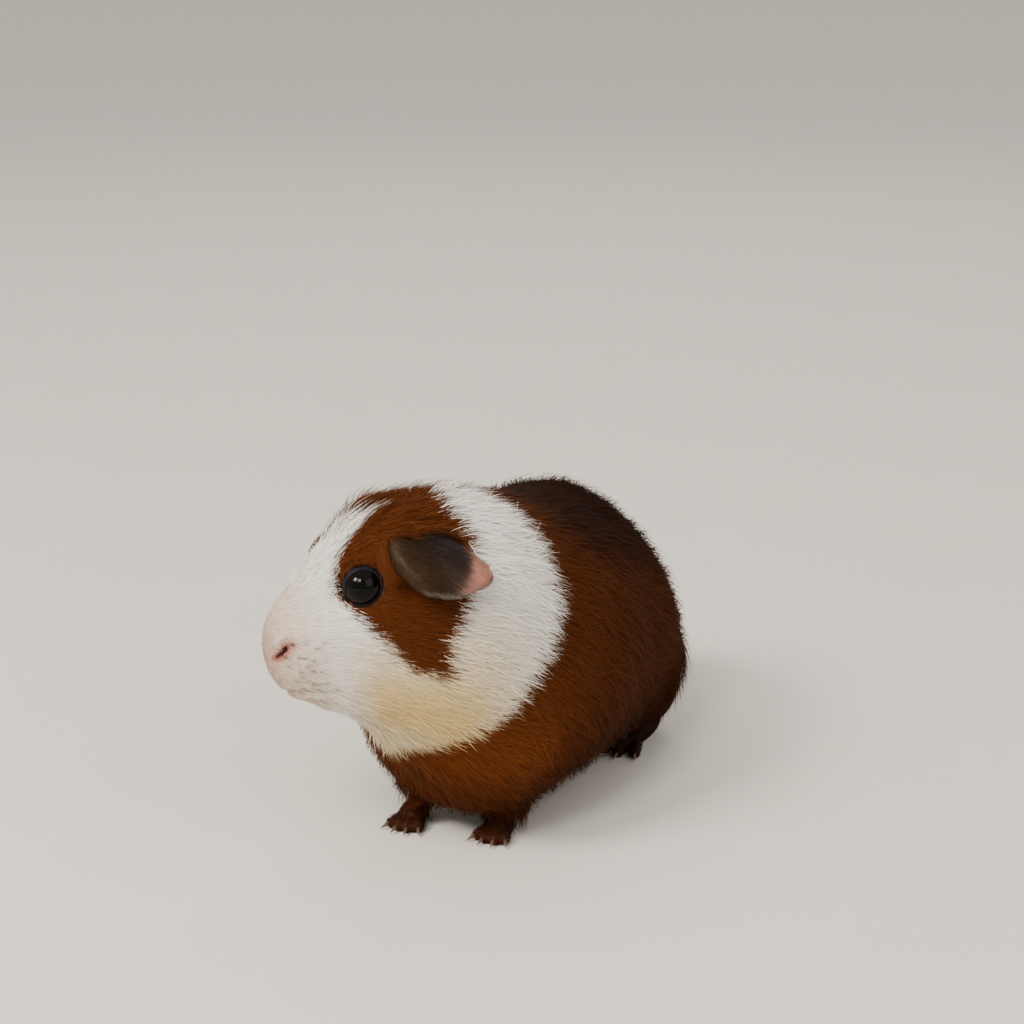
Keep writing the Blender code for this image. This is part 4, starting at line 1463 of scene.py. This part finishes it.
def makeTufts(rng):
    lines = [onHead(curvePoints(ear["root"], 30), side) for side in sides.values()]
    pick = np.zeros(len(kinds), dtype=bool)
    outward = np.zeros((len(kinds), 3))
    for line, side in zip(lines, sides.values()):
        gaps = triMiddles[:, None] - line[None, :28]
        far = np.linalg.norm(gaps, axis=2)
        nearest = gaps[np.arange(len(gaps)), far.argmin(axis=1)]
        above = nearest @ skullUp / mm
        here = hide & (far.min(axis=1) < tufts["near"] * mm)
        here &= (above > tufts["above"][0]) & (above < tufts["above"][1])
        pick |= here
        outward[here] = skullLeft * side
    count, parts = tufts["count"], tufts["parts"]
    roots, face = spreadRoots(pick, count, rng)
    distance, degrees, _ = bodyPlace(roots)
    lengths = tufts["length"] * rng.uniform(*tufts["unevenLength"], count)
    back, out, up = tufts["way"]
    way = skullBack * back + outward[face] * out + skullUp * up
    way += rng.normal(0, tufts["unevenWay"], (count, 3))
    steps = np.linspace(0, 1, parts + 1)
    reach = (lengths * mm)[:, None, None]
    paths = roots[:, None] + unit(way)[:, None] * steps[:, None] * reach
    paths += down * (steps**2)[:, None] * tufts["fall"] * reach
    normals = np.repeat(unit(outward[face] + skullUp * 0.5)[:, None], parts + 1, axis=1)
    widths = tufts["width"] * rng.uniform(*coat["uneven"]["width"], count)
    alone = np.arange(count)
    finishCoat("coat_tufts", "hide", paths, normals, widths, rng, roots, face, distance, degrees, alone)


def skinValues():
    # the skin carries the same markings as the coat
    distance, degrees, _ = bodyPlace(skinPoints)
    inside = brownAt(distance, degrees)
    face = np.zeros(len(skinPoints), dtype=int)
    face[corners.ravel()] = np.repeat(kinds, 3)
    onLimb, onEar = (face == skinKinds.index(name) for name in ("limb", "ear"))
    # dark is painted shade on the whisker specks; red is the slits' red, deepened with painted shade
    bare, red, dark = muzzleValues(distance, degrees)
    tone = np.full(len(skinPoints), 0.4)
    u, v, _ = earScales(skinPoints[onEar])
    tone[onEar] = u
    bare[onEar] = earBare(u, v)
    # on the ears, dark is painted shade in the hollow and under the curled rim
    strength, place, reach, start, whole = earAreas["curl"]
    dark[onEar] = np.maximum(earHollow(u, v), strength * bell(u, place, reach) * smooth(start, whole, v))
    carry(skinObject.data, {
        "brown": smooth(-1.0, 1.0, np.where(onLimb, 5.0, inside)),
        "shade": shadeAt(distance, degrees, skinPoints),
        "cream": creamAt(distance, degrees),
        "tone": tone,
        "bare": bare,
        "red": red,
        "dark": dark,
    }, 1)


skinValues()
guardHair = newMaterial("guardHair", hairLook, hairNodes)
rng = np.random.default_rng(11)
for piece in coat["pieces"]:
    makeCoat(*piece, rng)
makeTufts(rng)

flesh = ["head", "neck", "trunk"]
parts = ("foreleg", "hindleg", "forefoot", "hindfoot", "ear")
flesh += [f"{part}_{name}" for part in parts for name in sides]
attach(skinObject, "root")
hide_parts(*flesh)

# the eyeballs: wet cornea, a little proud, over a dark iris and a wide pupil, as glossy as a drop of
# water, so the room shows small and sharp in it
eyeballs = {
    "shader": {"IOR": 1.376, "Roughness": 0.04, "Specular IOR Level": 0.18},
    "carried": ("polar",),
    "patterns": {"fibre": ("TexNoise", 0.25, {"Detail": 3.0}, {})},
    "uneven": 3.0,  # degrees by which the iris's fibres shift its colours
    # degrees from the eye's axis, colour
    "rainbow": (
        (0, "#010101"), (27, "#020202"), (33, "#080402"), (46, "#0d0603"), (51, "#040405"), (62, "#0c0c0f"),
    ),
    "rings": 72,
    "around": 96,
    "bulge": 0.14,
    "bulgeReach": 50.0,
}


def corneaNodes(tree, value):
    uneven = eyeballs["uneven"]
    spread = addNode(tree, "MapRange", {"Value": value["fibre"], "To Min": -uneven, "To Max": uneven})
    polar = addNode(tree, "Math", {0: value["polar"], 1: spread}, operation="ADD")
    share = addNode(tree, "Math", {0: polar, 1: 90.0}, operation="DIVIDE")
    stops = [(degrees / 90, colour) for degrees, colour in eyeballs["rainbow"]]
    return {"Base Color": addNode(tree, "ValToRGB", {"Fac": share}, stops=stops)}


def eyeball(name):
    out, fore, across = eyeAxes(sides[name])
    polar = np.linspace(1.5, 178.5, eyeballs["rings"])
    turns = fullTurn(eyeballs["around"])
    radius = eye["radius"] + eyeballs["bulge"] * np.exp(-((polar / eyeballs["bulgeReach"]) ** 4))
    ring = fore * np.cos(turns)[:, None] + across * np.sin(turns)[:, None]
    ways = out * np.cos(np.radians(polar))[:, None, None] + ring * np.sin(np.radians(polar))[:, None, None]
    ball = closedLoft(f"eyeball_{name}", eyePlaces[name] + ways * radius[:, None, None] * mm)
    carry(ball.data, {"polar": np.repeat(polar, len(turns))}, 1)
    ball.data.materials.append(cornea)
    ball.data.shade_smooth()
    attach(ball, "root")
    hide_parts(f"eye_{name}")


# horn of the claws: grown in layers, so it is dark and dull at the root and clearer at the tip; its
# colour shifts a little with its ridges, darker in their lows: partly layered horn, partly painted shade
clawLook = {
    "shader": {"IOR": 1.55, "Roughness": 0.38, "Specular IOR Level": 0.4},
    "carried": ("along",),
    "patterns": {
        "ridge": (
            "TexWave", 0.72, {"Distortion": 1.5, "Detail": 2.0}, {"output": "Fac", "bands_direction": "X"},
        ),
    },
    "bumps": (("ridge", 0.03, 1.0),),
    # how far the ridges shift its colour: partly layered horn, partly painted shade in their lows
    "uneven": 0.08,
    "root": "#2a1c14",
    "tip": "#6e5a48",
    "rings": 16,
    "around": 18,
}


def clawNodes(tree, value):
    uneven = clawLook["uneven"]
    uneven = addNode(tree, "MapRange", {"Value": value["ridge"], "To Min": -uneven, "To Max": uneven})
    share = addNode(tree, "Math", {0: value["along"], 1: uneven}, operation="ADD")
    colour = {0: share, 6: clawLook["root"], 7: clawLook["tip"]}
    return {"Base Color": addNode(tree, "Mix", colour, 2, data_type="RGBA")}


def claws(kind, name):
    along, up = feet["clawStart"]
    thinning, blunt = feet["clawTaper"]
    for number, (_, _, tip, way) in enumerate(toeLines(kind, name), 1):
        share = np.linspace(0, 1, clawLook["rings"])
        line = tip + way * (feet["clawLength"] * share + along)[:, None]
        line[:, 2] += up - feet["clawDroop"] * share**2
        radii = feet["clawRadius"] * (1 - share**blunt * thinning)
        line = line * mm + frameShift
        grid = rodGrid(line, radii * mm, clawLook["around"])
        low = line[:, None, 2]
        grid[:, :, 2] = np.maximum(low + (grid[:, :, 2] - low) * feet["clawTall"], feet["clawLowest"] * mm)
        claw = closedLoft(f"hornClaw_{kind}_{name}_{number}", grid)
        carry(claw.data, {"along": np.repeat(share, clawLook["around"])}, 1)
        claw.data.materials.append(clawHorn)
        claw.data.shade_smooth()
        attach(claw, "root")
        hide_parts(f"claw_{kind}_{name}_{number}")


# whisker keratin: pale, stiff and slightly clear, a little darker at its root
whiskerLook = {
    "shader": {"IOR": 1.55, "Roughness": 0.35, "Specular IOR Level": 0.4},
    "carried": ("along",),
    "colours": ("along", "#8d8173", "#e9e4da"),
}


def whiskerPiece(rng):
    points, faces = [], []
    share = np.linspace(0, 1, whiskers["rings"])
    around = whiskers["around"]
    for (distance, degrees), root in zip(whiskerPlaces, whiskerPoints):
        out = skullLeft * (1 if abs(degrees) < 90 else -1)
        rearward = (distance - whiskers["longest"][0]) / whiskers["longest"][1]
        low = math.sin(math.radians(degrees))
        short, long = whiskers["length"]
        length = (short + (long - short) * rearward) * rng.uniform(*whiskers["unevenLength"])
        back = whiskers["back"][0] + whiskers["back"][1] * rearward
        up = whiskers["up"][0] * low + whiskers["up"][1]
        way = out * whiskers["out"] + skullBack * back + skullUp * up
        way = unit(way + rng.normal(0, whiskers["unevenWay"], 3))
        line = root - out * whiskers["sunk"] * mm + way * (share * length * mm)[:, None]
        sag = skullBack * whiskers["sagWay"][0] - skullUp * whiskers["sagWay"][1]
        line += sag * (share**2 * whiskers["sag"] * length * mm)[:, None]
        first = len(points)
        grid = rodGrid(line, whiskers["radius"] * (1 - whiskers["taper"] * share) * mm, around)
        points += grid.reshape(-1, 3).tolist()
        faces += [[first + corner for corner in face] for face in loftFaces(len(share), around)]
        faces.append([first + i for i in reversed(range(around))])
        faces.append([first + (len(share) - 1) * around + i for i in range(around)])
    thing = closedObject("whiskers", points, faces)
    thing.data.materials.append(newMaterial("whiskerKeratin", whiskerLook))
    carry(thing.data, {"along": np.tile(np.repeat(share, around), len(whiskerPlaces))}, 1)
    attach(thing, "root")


cornea = newMaterial("wetCornea", eyeballs, corneaNodes)
clawHorn = newMaterial("clawHorn", clawLook, clawNodes)
for name in sides:
    eyeball(name)
    for kind in ("fore", "hind"):
        claws(kind, name)
whiskerPiece(rng)
print("eyes, claws and whiskers")


def aim(thing, place, target):
    thing.location = place
    thing.rotation_euler = (Vector(target) - Vector(place)).to_track_quat("-Z", "Y").to_euler()


view = {"place": (0.23332, -0.52221, 0.25021), "lookAt": (0.00085, 0.00528, 0.08374), "lens": 73.83}
camera = placed("camera", bpy.data.cameras.new("camera"))
camera.data.lens = view["lens"]
aim(camera, view["place"], view["lookAt"])
bpy.context.scene.camera = camera

studio = {
    # place, size in metres, watts, colour
    "lights": {
        "key": ((-0.5, -1.0, 1.05), 0.42, 24.0, "#fff8f0"),
        "keyTwin": ((0.1, -1.15, 1.1), 0.42, 13.0, "#fff9f3"),
        "fill": ((1.1, -0.5, 0.7), 0.9, 5.0, "#fbf8f4"),
        "back": ((-0.3, 1.1, 1.1), 0.9, 3.5, "#fff3e2"),
    },
    "lookAt": (0, 0, 0.05),
    "air": ("#f2efeb", 0.95),
}
for name, (place, size, watts, colour) in studio["lights"].items():
    light = bpy.data.lights.new(name, "AREA")
    light.size = size
    light.energy = watts
    light.color = toLinear(colour)[:3]
    aim(placed(name, light), place, studio["lookAt"])
world = bpy.data.worlds.new("studio")
world.use_nodes = True
air = world.node_tree.nodes["Background"].inputs
air["Color"].default_value = toLinear(studio["air"][0])
air["Strength"].default_value = studio["air"][1]
bpy.context.scene.world = world

# painted floor: pale, dull, and faintly uneven where the roller went
floorLook = {
    "shader": {"Roughness": 0.85, "Specular IOR Level": 0.2},
    "patterns": {"mottle": ("TexNoise", 40.0, {}, {})},
    "colours": ("mottle", "#d3cdc2", "#d8d3c9"),
    "size": 60.0,
}
edges = [(x * floorLook["size"], y * floorLook["size"], 0) for x, y in ((-1, -1), (1, -1), (1, 1), (-1, 1))]
newObject("floor", edges, [[0, 1, 2, 3]], [newMaterial("paintedFloor", floorLook)])
